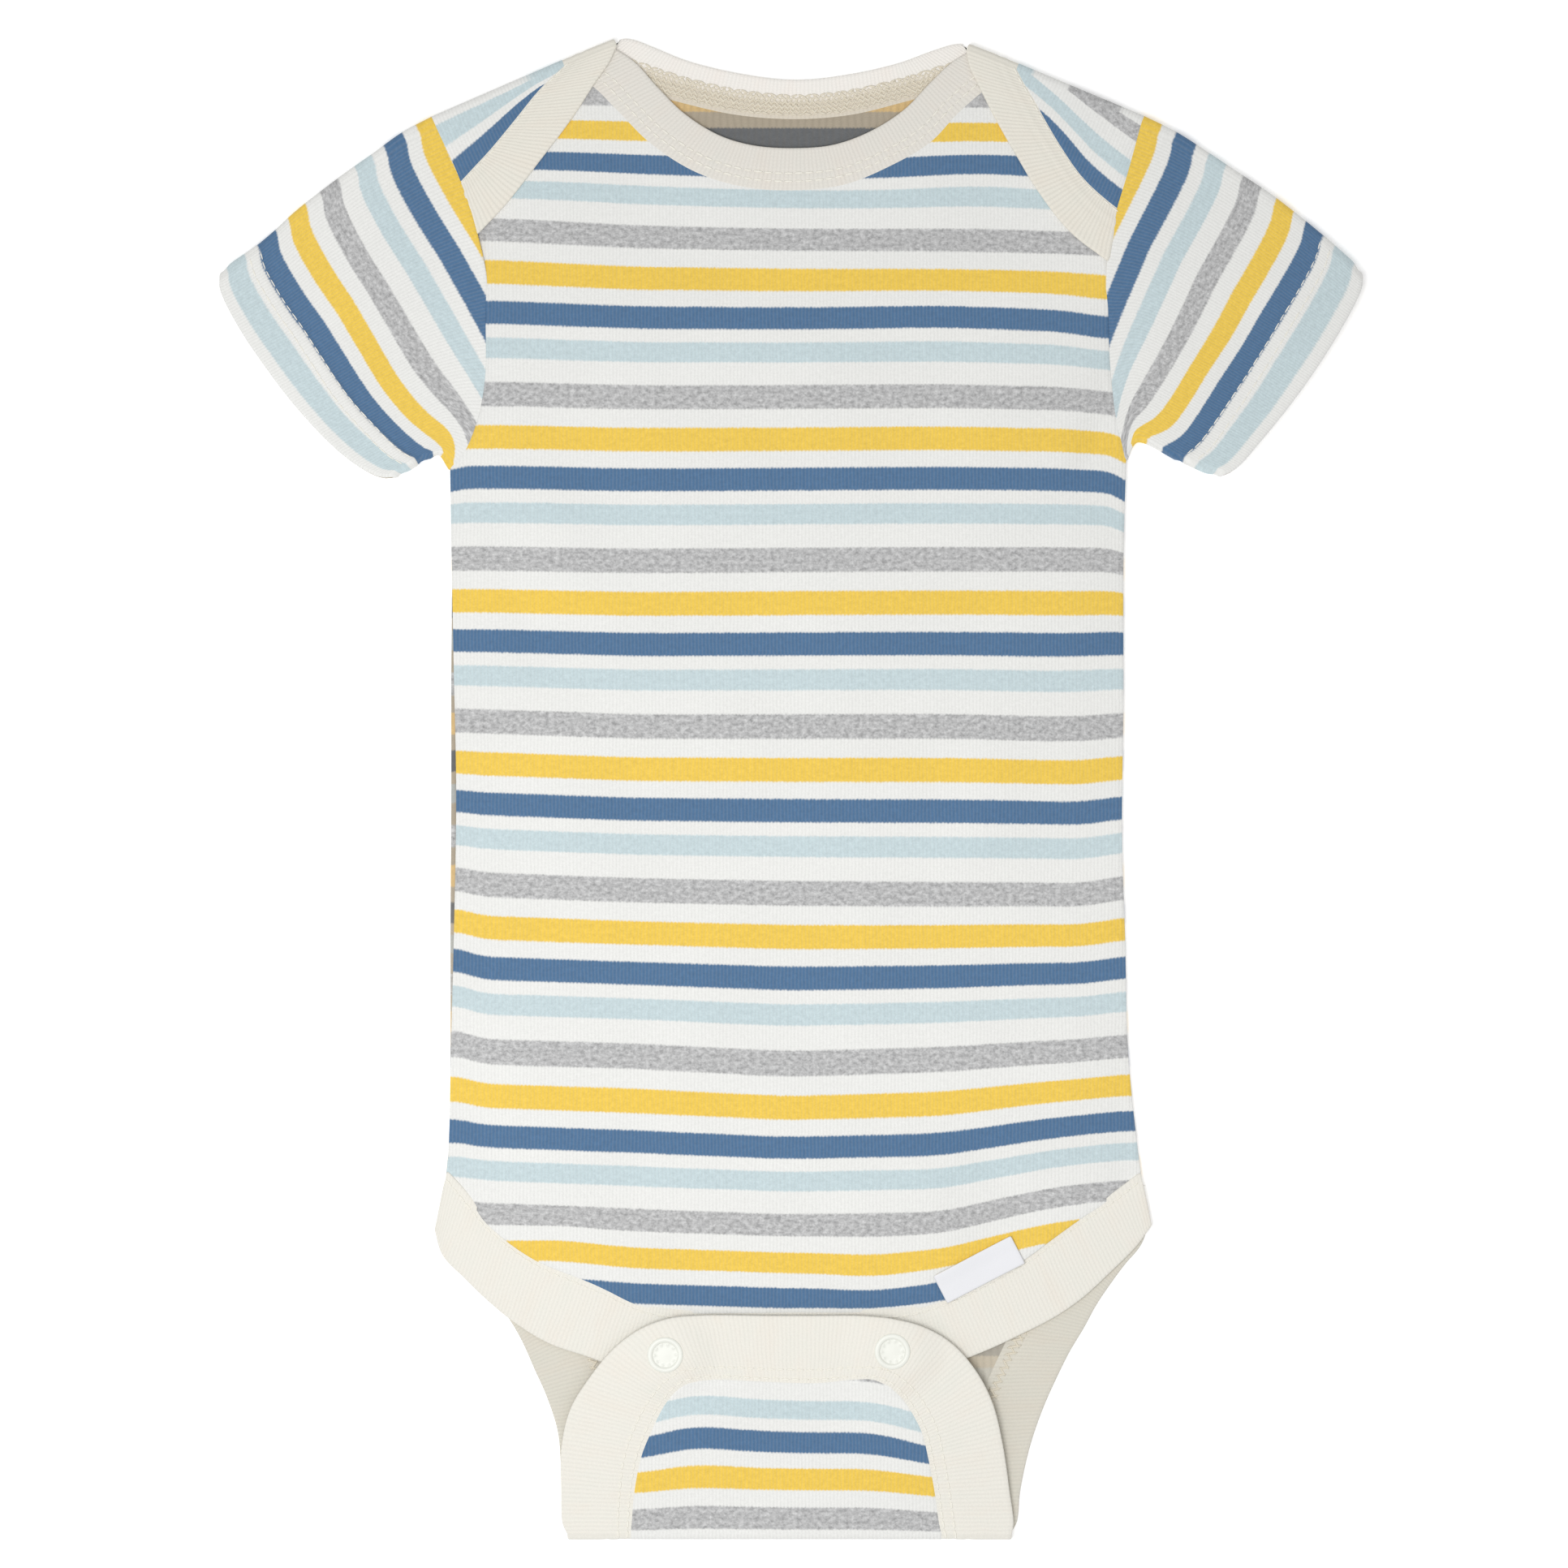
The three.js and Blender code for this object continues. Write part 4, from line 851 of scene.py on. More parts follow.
SLEEVE_STRIPES = {
    # share of the way from the shoulder's fold to the arm's underside, then how far from the
    # sleeve's edge those repeats lie: the edge, then pale, navy, yellow, grey, pale, navy, yellow
    "left": [
        (0.0, 0, 4.9, 15.2, 25.6, 36.8, 47.4, 57.8, 67.5, 79),
        (0.35, 0, 5.6, 16.4, 26.0, 35.8, 47.1, 57.4, 67, 78),
        (0.5, 0, 5.4, 15.6, 24.6, 34.6, 45.8, 56.1, 66, 76),
        (0.65, 0, 5.0, 14.2, 22.4, 32.5, 43.9, 54, 64, 74),
        (0.8, 0, 5.0, 13.5, 20.9, 31.6, 42, 52, 62, 72),
        (0.88, 0, 4.4, 12.2, 20.6, 31.0, 40, 50, 60, 70),
        (0.94, 0, 3.8, 11.0, 19.4, 29.0, 38, 48, 58, 68),
        (1.0, 0, 3.2, 9.8, 14.8, 22.5, 30, 40, 50, 60),
    ],
    "right": [
        (0.0, 0, 7.1, 16.9, 26.5, 37.6, 47.9, 58.6, 68.6, 80),
        (0.35, 0, 6.6, 17.2, 26.1, 37.0, 47.2, 57.2, 67, 78),
        (0.5, 0, 6.4, 16.5, 25.1, 35.2, 45.2, 55.1, 65, 76),
        (0.65, 0, 5.3, 15.9, 24.5, 33.4, 42.9, 53, 63, 73),
        (0.8, 0, 5.0, 14.6, 22.9, 31.9, 40.5, 50, 60, 70),
        (0.9, 0, 4.7, 13.9, 22.6, 31.2, 39, 48, 58, 68),
        (0.95, 0, 4.6, 13.7, 23.8, 31.5, 40, 49, 59, 69),
        (1.0, 0, 4.4, 13.6, 25.0, 30.0, 38, 47, 57, 67),
    ],
}


def way(a, b):
    """Direction from a to b."""
    return (b - a) / np.linalg.norm(b - a)


def trimmed(row, start, end, count):
    """A row of points with a length taken off each end, spread evenly again."""
    run = run_of(row[:, :2])
    at = np.linspace(start, run[-1] - end, count + 1)
    return np.stack([np.interp(at, run, row[:, k]) for k in range(row.shape[1])], axis=1)


def hem_line(side, share):
    """Distance of the stitched line from the sleeve's edge: it follows the navy stripe's edge."""
    table = np.array(SLEEVE_STRIPES[side])
    pale, navy = (np.interp(share, table[:, 0], table[:, column]) for column in (2, 3))
    return navy + (pale - navy) * HEM_LINE


def sleeve_thickness(side, from_edge, share):
    """One layer of jersey, two where the edge is turned up, pressed in by the stitching."""
    past = from_edge - hem_line(side, share)
    press = np.exp(-((past / 0.55) ** 2))
    return JERSEY + (HEM_THICKNESS - JERSEY) * (1 - smooth(past, 0.0, 0.9)) - 0.6 * press


def sleeve_repeats(side, share, from_edge):
    """Repeats of the print at a share of the way round and a distance from the edge."""
    table = np.array(SLEEVE_STRIPES[side])
    percent = np.asarray(share) * 100
    lines = [rounded_line(percent, table[:, 0] * 100, column, blur=7) for column in table[:, 1:].T]
    places = np.stack(lines, axis=-1)
    flat = np.zeros(np.shape(share))
    for k in np.ndindex(flat.shape):
        flat[k] = np.interp(from_edge[k], places[k], SLEEVE_REPEATS)
    return flat


def eased(plan, corner, inward, amount=1.3, reach=2.4):
    """A plan with one of its corners pulled in, so that its outline turns there softly."""
    near = np.linalg.norm(plan - corner, axis=-1) / reach
    return plan + inward * amount * np.exp(-(near**2))[..., None]


def sleeve_leaf(side, spec, across=48, rings=84, turn_steps=8):
    """The flattened tube as one grid, from the armhole to the edge."""
    armhole = spec["armhole"].copy()
    run = np.gradient(armhole, axis=0)
    run /= np.linalg.norm(run, axis=1)[:, None]
    armhole += np.stack([-run[:, 1], run[:, 0]], 1) * 0.05 * spec["outward"]
    end_under = way(armhole[-2], armhole[-1])
    first = armhole.copy()
    first[0] = armhole[0] + spec["fold"]["out"] * (SHOULDER_ROLL + JERSEY / 2)
    first[-1] = armhole[-1] + end_under * (UNDERARM_ROLL + JERSEY / 2)
    top = evenly([first[0], *spec["top"][1:]], rings)
    under = evenly([first[-1], *spec["under"][1:]], rings)
    plan = patch(first, evenly(spec["hem"], len(first) - 1), top, under)
    hem = np.array(spec["hem"])
    for corner, along_hem, along_fold in ((hem[0], hem[1], top[-4]), (hem[-1], hem[-2], under[-4])):
        plan = eased(plan, corner, way(np.zeros(2), way(corner, along_hem) + way(corner, along_fold)))
    steps = np.linalg.norm(np.diff(plan, axis=0), axis=2)
    from_edge = np.concatenate([np.cumsum(steps[::-1], axis=0)[::-1], np.zeros((1, plan.shape[1]))])
    shares = np.broadcast_to(np.linspace(0, 1, plan.shape[1]), from_edge.shape)
    plan = np.concatenate([plan, from_edge[..., None], shares[..., None]], axis=2)
    mids, knits, thicks, prints = [], [], [], []
    for j, row in enumerate(plan):
        share = j / rings
        r_top = SHOULDER_ROLL + (HEM_ROLL - SHOULDER_ROLL) * share
        r_under = UNDERARM_ROLL + (HEM_ROLL - UNDERARM_ROLL) * share
        t_row = sleeve_thickness(side, row[:, 2], row[:, 3])
        flat = trimmed(row, r_top + t_row[0] / 2, r_under + t_row[-1] / 2, across)
        near, around = flat[:, 2], flat[:, 3]
        place = around * SLEEVE_ACROSS
        flat = flat[:, :2]
        t = sleeve_thickness(side, near, around)
        out_top = way(flat[1], flat[0]) if j else spec["fold"]["out"]
        out_under = way(flat[-2], flat[-1])
        drop = smooth(np.linspace(0, 1, across + 1), 0.25, 0.6)
        low = t / 2
        fade = math.sin(math.pi * min(1, share + 0.05))
        soft = 0.16 * soft_waves(flat[:, 0], flat[:, 1], 9, (16, 40)) * fade
        high = low + 2 * (r_top + (r_under - r_top) * drop) + np.abs(soft)
        turn = np.linspace(0, math.pi, turn_steps + 1)[1:-1]
        rise_top = (high[0] - low[0]) / 2
        rise_under = (high[-1] - low[-1]) / 2
        fold_top = np.column_stack([
            flat[0] + out_top * (r_top * np.sin(turn))[:, None], low[0] + rise_top * (1 - np.cos(turn)),
        ])
        fold_under = np.column_stack([
            flat[-1] + out_under * (r_under * np.sin(turn))[:, None],
            low[-1] + rise_under * (1 + np.cos(turn)),
        ])
        lower = np.column_stack([flat, low])[::-1]
        upper = np.column_stack([flat, high])
        more = len(turn)

        def ring_of(values):
            return np.concatenate([
                values[::-1], values[:1].repeat(more), values, values[-1:].repeat(more), values[-1:],
            ])

        lay = np.concatenate([
            -place[::-1], np.linspace(-0.4, 0.4, more), place, place[-1] + 0.3 * np.arange(1, more + 2),
        ])
        mids.append(np.concatenate([lower, fold_top, upper, fold_under, lower[:1]]))
        knits.append(np.stack([lay, ring_of(near)], 1))
        thicks.append(ring_of(t))
        prints.append(ring_of(sleeve_repeats(side, around, near)))
    made = leaf(
        np.array(mids), np.array(knits), np.array(prints), np.array(thicks), turned=spec["outward"] < 0
    )
    made["upper_from"] = across + turn_steps
    made["across"] = across
    made["from_edge"] = np.array(knits)[..., 1]
    made["around"] = ring_of(around)
    return made


sleeve_leaves = {}
for side, spec in SLEEVES.items():
    made = sleeve_leaf(side, spec)
    sleeve = sew(f"sleeve_cloth_{side}", [made], jersey, reverse)
    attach(sleeve, "root")
    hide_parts(f"sleeve_{side}")
    sleeve_leaves[side] = made

# Neck bands
# A folded strip of cream rib binds the front neckline, and a longer one runs round the back
# neckline and down the free edge of each lap. Both are stitched down along their inner side.
RIB = 1.2
NECK_BAND_Z = 1.9
OVER_SEAM = 0.7


def rib_material(name, look, shade=0.06, shaded=None):
    """Cream rib with fine cords across the band and a faint drift of tints along the yarn.

    shaded is how much light reaches the part of the band near its seam, where it lies deep."""
    made, tree, shader, knit = cloth_material(name, sheen=0.15)
    loops = use_group(tree, knit_tree, Place=knit, Wale=0.00108, Course=0.0009)
    streak = add_node(tree, "ShaderNodeMapping", knit)
    streak.inputs["Scale"].default_value = (1.0, 0.35, 1.0)
    slub = add_node(tree, "ShaderNodeTexNoise", streak.outputs[0], None, 150.0, 3.0, 0.6)
    warm = add_node(tree, "ShaderNodeMapRange", slub.outputs[0], 0.5, 0.72, 0.0, 0.5).outputs[0]
    cool = add_node(tree, "ShaderNodeMapRange", slub.outputs[0], 0.48, 0.28, 0.0, 0.5).outputs[0]
    tint = blended(tree, warm, look, tuple(np.array(look) * [1.0, 0.955, 0.93, 1.0]))
    tint = blended(tree, cool, tint, tuple(np.array(look) * [0.955, 0.985, 0.985, 1.0]))
    if shaded:
        height = add_node(tree, "ShaderNodeSeparateXYZ", knit).outputs[1]
        deep = add_node(tree, "ShaderNodeMapRange", height, 0.005, 0.0076, 1.0, 0.0).outputs[0]
        tint = blended(tree, deep, tint, tuple(np.array(look) * [*shaded, 1.0]))
    surface(tree, shader, tint, loops, shade, 0.00013)
    return made


# These are one cream rib in different tints of painted light and shade: rib_neck is darkened, rib_inside
# lightened and given painted shade near its seam.
rib_neck = rib_material("rib_neck", colour(229, 225, 217))
rib_inside = rib_material("rib_inside", colour(246, 242, 236), shaded=(0.78, 0.74, 0.66))
rib_lap = rib_material("rib_lap", colour(234, 230, 219), 0.09)
NECK_ROWS_OF_STITCHES = (0.22, 0.42)


def band_profile(share, groove=NECK_ROWS_OF_STITCHES):
    """Thickness across a folded band: thin where it is sewn, pressed in along the stitching."""
    thick = RIB * (0.72 + 0.28 * smooth(share, 0.0, 0.3))
    for at in groove:
        thick = thick - 0.26 * np.exp(-(((share - at) / 0.05) ** 2))
    return thick


def band_plan(table, count, rows):
    """Plan, own flat place and share across of a band, from its seam to its free edge."""
    table = np.array(table)
    t = np.linspace(0, len(table) - 1, count + 1)
    seam_row, edge_row = curve_at(table[:, :2], t), curve_at(table[:, 2:], t)
    width = np.linalg.norm(edge_row - seam_row, axis=1)[:, None]
    near = seam_row - (edge_row - seam_row) * (OVER_SEAM / width)
    plan = between(near, edge_row, rows)
    share = np.linspace(0, 1, rows + 1)
    run = (run_of(seam_row) + run_of(edge_row)) / 2
    knit = np.stack(np.broadcast_arrays(run[None], share[:, None] * width.mean()), 2)
    return plan, knit, np.broadcast_to(share[:, None], plan.shape[:2])


ROWS = 22
plan, knit, share = band_plan(NECK_FRONT, 190, ROWS)
neck_front_leaf = leaf(lifted(plan, NECK_BAND_Z), knit, thick=band_profile(share))
neck_front = sew("neck_band_front", [neck_front_leaf], rib_neck, rib_inside)
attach(neck_front, "root")
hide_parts("neck_binding_front")


def lap_drop(plan, share, knit):
    """How far a lap's band settles towards the front below it."""
    return 0.45 * smooth(share, 0.2, 1.0) * smooth(knit[..., 0], 2, 16)


def band_roll(column, fold, low, high, knit_column, share_column, start, turned=False):
    """The stretch of a band that rolls over a fold."""
    bend = rolled(column, fold, low, high)
    arc = np.linspace(0, math.pi * (high - low) / 2, len(bend))[:, None]
    knit = np.stack(np.broadcast_arrays(start + arc, knit_column[None, :, 1]), 2)
    thick = np.broadcast_to(band_profile(share_column), bend.shape[:2])
    return leaf(bend, knit, thick=thick, turned=turned)


main, main_knit, share = band_plan(NECK_BACK, 130, ROWS)
back_neck_leaves = [leaf(lifted(main, RIB / 2), main_knit, thick=band_profile(share))]
column_share = share[:, 0]
lap_band_leaves = {}
for side, table, column, fold in (
    ("left", LAP_LEFT, 0, SHOULDER_LEFT),
    ("right", LAP_RIGHT, -1, SHOULDER_RIGHT),
):
    back_neck_leaves.append(
        band_roll(main[:, column], fold, RIB / 2, LAP_Z, main_knit[:, column], column_share, 0.0,
                  turned=side == "right")
    )
    plan, knit, share = band_plan(table, 70, ROWS)
    plan[:, 0] = main[:, column]
    height = LAP_Z - lap_drop(plan, share, knit)
    made = leaf(lifted(plan, height), knit, thick=band_profile(share), turned=side == "left")
    back_neck_leaves.append(made)
    lap_band_leaves[side] = made
neck_back = sew("neck_band_back", back_neck_leaves, rib_inside, rib_lap)
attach(neck_back, "root")
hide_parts("neck_binding_back")

# Leg bands
# The same cream rib, folded and stitched down, binds the front's leg edges and lower edge in
# one run, and the back's leg edges and the tail in another, which rolls over the fold.
# rib_leg_inside is the same rib darkened: painted shade inside the leg openings.
rib_leg = rib_material("rib_leg", colour(234, 231, 222), 0.04)
rib_leg_inside = rib_material("rib_leg_inside", colour(217, 213, 201), 0.06)

plan, knit, share = band_plan(LEG_FRONT, 260, ROWS)
height = LEG_BAND_Z + LEG_BAND_SNAP_RISE * snap_rise(plan[..., 0], plan[..., 1])
leg_front_leaf = leaf(lifted(plan, height), knit, thick=band_profile(share, (0.12,)))
leg_front = sew("leg_band_front", [leg_front_leaf], rib_leg_inside, rib_leg)
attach(leg_front, "root")
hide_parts("leg_binding_front")

left, left_knit, left_share = band_plan(LEG_BACK_LEFT, 96, ROWS)
right, right_knit, right_share = band_plan(LEG_BACK_RIGHT, 96, ROWS)
tail_band, tail_knit, tail_share = band_plan(TAIL, 250, ROWS)
tail_band[:, 0] = left[:, -1]
tail_band[:, -1] = right[:, 0]
tail_z = tail_height(tail_band[..., 0], tail_band[..., 1])
tail_z[:, [0, -1]] = TAIL_FOLD_Z
BAND_ROWS_OF_STITCHES = (0.1, 0.24)
column_share = left_share[:, 0]
tail_thick, left_thick, right_thick = (
    band_profile(share, BAND_ROWS_OF_STITCHES) for share in (tail_share, left_share, right_share)
)
tail_band_leaf = leaf(lifted(tail_band, tail_z), tail_knit, thick=tail_thick)
leg_left_leaf = leaf(lifted(left, RIB / 2), left_knit, thick=left_thick)
leg_right_leaf = leaf(lifted(right, RIB / 2), right_knit, thick=right_thick)
leg_back_leaves = [
    leg_left_leaf,
    band_roll(left[:, -1], CROTCH, RIB / 2, TAIL_FOLD_Z, left_knit[:, -1], column_share,
              left_knit[0, -1, 0], turned=True),
    tail_band_leaf,
    band_roll(right[:, 0], CROTCH, RIB / 2, TAIL_FOLD_Z, right_knit[:, 0], column_share, 0.0),
    leg_right_leaf,
]
leg_back = sew("leg_band_back", leg_back_leaves, rib_leg, rib_leg_inside)
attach(leg_back, "root")
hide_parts("leg_binding_back")

# Stitching
# Cream cotton thread: two rows along the bands of the front neck, of the tail and of each
# sleeve's hem, one along the laps and the front's leg edges, and seams of close zigzag
# inside the neck and the legs in a darker beige copy of the thread, its darkness painted shade.


def thread_material(name, dark, light):
    """Spun cotton thread, mottled between two tints."""
    made, tree, shader = plain_material(name, 0.3)
    shader.inputs["Sheen Weight"].default_value = 0.1
    spot = add_node(tree, "ShaderNodeTexCoord").outputs["Object"]
    ply = add_node(tree, "ShaderNodeTexNoise", spot, None, 2600.0, 3.0, 0.6).outputs[0]
    tree.links.new(blended(tree, ply, dark, light), shader.inputs["Base Color"])
    tree.links.new(sums(tree, "MULTIPLY_ADD", ply, 0.2, 0.6), shader.inputs["Roughness"])
    relief(tree, shader, ply, 0.5, 0.0001)
    return made


thread = thread_material("thread", colour(232, 228, 216), colour(248, 246, 238))
# A darker copy of the cream thread: its beige is painted shade for the seams that lie deep inside the neck
# and legs.
thread_shaded_beige = thread_material("thread_shaded_beige", colour(214, 205, 186), colour(234, 227, 210))


def stitch_tree():
    """Geometry nodes: one stitch at every step along the paths, each slanted in turn."""
    tree = bpy.data.node_groups.new("stitch_rows", "GeometryNodeTree")
    face = tree.interface
    face.new_socket("Geometry", in_out="INPUT", socket_type="NodeSocketGeometry")
    wanted = [
        ("Step", "NodeSocketFloat", 0.003), ("Length", "NodeSocketFloat", 0.0024),
        ("Thread", "NodeSocketFloat", 0.0005), ("Slant", "NodeSocketFloat", 0.0),
        ("Uneven", "NodeSocketFloat", 0.12), ("Seed", "NodeSocketInt", 7),
        ("Material", "NodeSocketMaterial", None),
    ]
    for label, kind, value in wanted:
        socket = face.new_socket(label, in_out="INPUT", socket_type=kind)
        if value is not None:
            socket.default_value = value
    face.new_socket("Geometry", in_out="OUTPUT", socket_type="NodeSocketGeometry")
    start = tree.nodes.new("NodeGroupInput").outputs
    end = tree.nodes.new("NodeGroupOutput").inputs

    path = add_node(tree, "GeometryNodeMeshToCurve", start["Geometry"]).outputs[0]
    sampled = add_node(tree, "GeometryNodeResampleCurve", path, mode="LENGTH")
    tree.links.new(start["Step"], sampled.inputs["Length"])
    tangent = add_node(tree, "GeometryNodeInputTangent").outputs[0]
    along = add_node(tree, "FunctionNodeAlignRotationToVector", axis="X")
    tree.links.new(tangent, along.inputs["Vector"])
    number = add_node(tree, "GeometryNodeInputIndex").outputs[0]
    odd = sums(tree, "MODULO", number, 2.0)
    sign = sums(tree, "MULTIPLY_ADD", odd, 2.0, -1.0)
    slant = sums(tree, "MULTIPLY", sign, start["Slant"])
    turn = add_node(tree, "FunctionNodeAxisAngleToRotation")
    turn.inputs["Axis"].default_value = (0, 0, 1)
    tree.links.new(slant, turn.inputs["Angle"])
    facing = add_node(tree, "FunctionNodeRotateRotation", rotation_space="LOCAL")
    tree.links.new(along.outputs[0], facing.inputs["Rotation"])
    tree.links.new(turn.outputs[0], facing.inputs["Rotate By"])

    less = sums(tree, "SUBTRACT", 1.0, start["Uneven"])
    more = sums(tree, "ADD", 1.0, start["Uneven"])
    size = add_node(tree, "FunctionNodeRandomValue", data_type="FLOAT")
    tree.links.new(less, size.inputs[2])
    tree.links.new(more, size.inputs[3])
    tree.links.new(start["Seed"], size.inputs["Seed"])
    long = sums(tree, "MULTIPLY", start["Length"], 0.5)
    wide = sums(tree, "MULTIPLY", start["Thread"], 0.5)
    bead = add_node(tree, "GeometryNodeMeshUVSphere")
    bead.inputs["Segments"].default_value = 8
    bead.inputs["Rings"].default_value = 6
    bead.inputs["Radius"].default_value = 1.0
    scale = add_node(tree, "ShaderNodeCombineXYZ", long, wide, wide).outputs[0]
    shaped = add_node(tree, "GeometryNodeTransform")
    tree.links.new(bead.outputs[0], shaped.inputs["Geometry"])
    tree.links.new(scale, shaped.inputs["Scale"])
    laid = add_node(tree, "GeometryNodeInstanceOnPoints")
    tree.links.new(sampled.outputs[0], laid.inputs["Points"])
    tree.links.new(shaped.outputs[0], laid.inputs["Instance"])
    tree.links.new(facing.outputs[0], laid.inputs["Rotation"])
    tree.links.new(size.outputs[1], laid.inputs["Scale"])
    real = add_node(tree, "GeometryNodeRealizeInstances", laid.outputs[0]).outputs[0]
    even = add_node(tree, "GeometryNodeSetShadeSmooth")
    tree.links.new(real, even.inputs["Geometry"])
    finish = add_node(tree, "GeometryNodeSetMaterial")
    tree.links.new(even.outputs[0], finish.inputs["Geometry"])
    tree.links.new(start["Material"], finish.inputs["Material"])
    tree.links.new(finish.outputs[0], end["Geometry"])
    return tree


stitches = stitch_tree()


def stitch_rows(name, paths, finish=thread, **values):
    """A piece of stitching along rows of points in mm, made by the tree and turned to a mesh."""
    points, edges = [], []
    for path in paths:
        start = len(points)
        points.extend((np.asarray(path) * 0.001).tolist())
        edges.extend([start + k, start + k + 1] for k in range(len(path) - 1))
    guide_mesh = bpy.data.meshes.new(name + "_path")
    guide_mesh.from_pydata(points, edges, [])
    guide = placed(name + "_path", guide_mesh)
    change = guide.modifiers.new("rows", "NODES")
    change.node_group = stitches
    values["Material"] = finish
    for item in stitches.interface.items_tree:
        if item.in_out == "INPUT" and item.name in values:
            change[item.identifier] = values[item.name]
    seen = guide.evaluated_get(bpy.context.evaluated_depsgraph_get())
    mesh = bpy.data.meshes.new_from_object(seen)
    bpy.data.objects.remove(guide)
    mesh.name = name
    piece = placed(name, mesh)
    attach(piece, "root")
    return piece


def row_on(grid, share, start=0.0, end=1.0, lift=0.08):
    """A path along a grid's rows at a share across it, just over its surface."""
    at = share * (len(grid) - 1)
    low = int(math.floor(at))
    row = grid[low] * (1 - (at - low)) + grid[min(low + 1, len(grid) - 1)] * (at - low)
    first, last = int(start * (len(row) - 1)), int(end * (len(row) - 1))
    return row[first : last + 1] + [0, 0, lift]


def top_of(made):
    """The surface of a leaf that faces up."""
    return made["over"] if made["over"][..., 2].mean() > made["under"][..., 2].mean() else made["under"]


neck_rows = [row_on(top_of(neck_front_leaf), at, 0.02, 0.98) for at in NECK_ROWS_OF_STITCHES]
neck_stitches = stitch_rows("stitches_neck_front", neck_rows, Step=0.0027, Length=0.0023, Thread=0.00045)
lap_rows = [row_on(top_of(made), 0.1, 0.03, 0.99) for made in lap_band_leaves.values()]
lap_stitches = stitch_rows("stitches_laps", lap_rows, Step=0.0027, Length=0.0022, Thread=0.0004, Seed=11)
leg_rows = [row_on(top_of(leg_front_leaf), 0.12, 0.01, 0.99)]
leg_stitches = stitch_rows(
    "stitches_leg_front", leg_rows, Step=0.0027, Length=0.0022, Thread=0.0004, Seed=13,
)
tail_rows = [row_on(top_of(tail_band_leaf), at) for at in BAND_ROWS_OF_STITCHES]
tail_stitches = stitch_rows(
    "stitches_tail", tail_rows, Step=0.0026, Length=0.0021, Thread=0.00048, Seed=17,
)

hem_rows = []
for side, made in sleeve_leaves.items():
    span = slice(made["upper_from"] + 1, made["upper_from"] + made["across"])
    turn = 1 if SLEEVES[side]["outward"] > 0 else -1
    layers = [made[key][:, ::turn][:, span] for key in ("over", "under")]
    upper = max(layers, key=lambda grid: grid[..., 2].mean())
    far = made["from_edge"][:, span]
    lines = hem_line(side, made["around"])[span]
    for offset in HEM_ROWS:
        hem_rows.append(np.array([
            [np.interp(lines[i] + offset, far[::-1, i], upper[::-1, i, k]) for k in range(3)]
            for i in range(upper.shape[1])
        ]) + [0, 0, 0.06])
stitch_rows("stitches_sleeves", hem_rows, Step=0.0026, Length=0.0024, Thread=0.00033, Seed=19)

neck_main = top_of(back_neck_leaves[0])
flat_rows = [row_on(neck_main, at, 0.045, 0.955, 0.06) for at in (0.2, 0.31, 0.42, 0.53)]
flat_seam = stitch_rows(
    "stitches_neck_inside", flat_rows, thread_shaded_beige, Step=0.00072, Length=0.0019, Thread=0.0005,
    Slant=0.75, Seed=23, Uneven=0.35,
)
edge_rows = [row_on(neck_main, at, 0.045, 0.955, 0.1) for at in (0.12, 0.61)]
edge_seam = stitch_rows(
    "stitches_neck_inside_edges", edge_rows, thread_shaded_beige, Step=0.0019, Length=0.0019, Thread=0.00055,
    Slant=0.3, Seed=29,
)
leg_inner_rows = [row_on(top_of(made), 0.16, lift=0.12) for made in (leg_left_leaf, leg_right_leaf)]
leg_inner = stitch_rows(
    "stitches_leg_inside", leg_inner_rows, thread_shaded_beige, Step=0.00105, Length=0.0034, Thread=0.0005,
    Slant=0.95, Seed=31, Uneven=0.25,
)

# Snaps
# Two small ring snaps of off-white plastic hold the tail to the front: each is a cap with its
# socket, pressed through the tail's band, and a stud with its disc, through the front's band.
SNAP_RADIUS = 4.75
SNAP_DISC_RADIUS = 4.2
CAP_POST_RADIUS = 2.8
STUD_POST_RADIUS = 2.0
plastic, tree, shader = plain_material("snap_plastic", 0.45)
spot = add_node(tree, "ShaderNodeTexCoord").outputs["Object"]
cloud = add_node(tree, "ShaderNodeTexNoise", spot, None, 320.0, 3.0, 0.5).outputs[0]
tree.links.new(
    blended(tree, cloud, colour(228, 229, 221), colour(238, 239, 231)), shader.inputs["Base Color"]
)
tree.links.new(sums(tree, "MULTIPLY_ADD", cloud, 0.15, 0.32), shader.inputs["Roughness"])
relief(tree, shader, add_node(tree, "ShaderNodeTexNoise", spot, None, 900.0, 2.0).outputs[0], 0.15, 0.0001)


def turned_piece(name, profile, at, segments=60):
    """A closed turned piece from its profile of radius and height, bottom to top.

    A third number in a row is how high the prongs stand there."""
    x0, y0 = at
    points, faces = [(x0, y0, profile[0][1])], []
    for radius, z, *prong in profile[1:-1]:
        for k in range(segments):
            turn = 2 * math.pi * k / segments
            top = z + (prong[0] if prong and k % 6 < 2 else 0)
            points.append((x0 + radius * math.cos(turn), y0 + radius * math.sin(turn), top))
    points.append((x0, y0, profile[-1][1]))
    last = len(points) - 1
    for k in range(segments):
        after = (k + 1) % segments
        faces.append((0, 1 + after, 1 + k))
        for j in range(len(profile) - 3):
            a, b = 1 + j * segments, 1 + (j + 1) * segments
            faces.append((a + k, a + after, b + after, b + k))
        a = 1 + (len(profile) - 3) * segments
        faces.append((last, a + k, a + after))
    mesh = bpy.data.meshes.new(name)
    mesh.from_pydata((np.array(points) * 0.001).tolist(), [], faces)
    mesh.materials.append(plastic)
    mesh.polygons.foreach_set("use_smooth", np.ones(len(faces), bool))
    return placed(name, mesh)


def ring_bead(inner, outer, base, rise, steps=10):
    """Profile of a rounded ring standing on base, from its outer side to its inner side."""
    turn = np.linspace(0, math.pi, steps + 1)
    middle, half = (inner + outer) / 2, (outer - inner) / 2
    return [(middle + half * math.cos(a), base + rise * math.sin(a)) for a in turn]


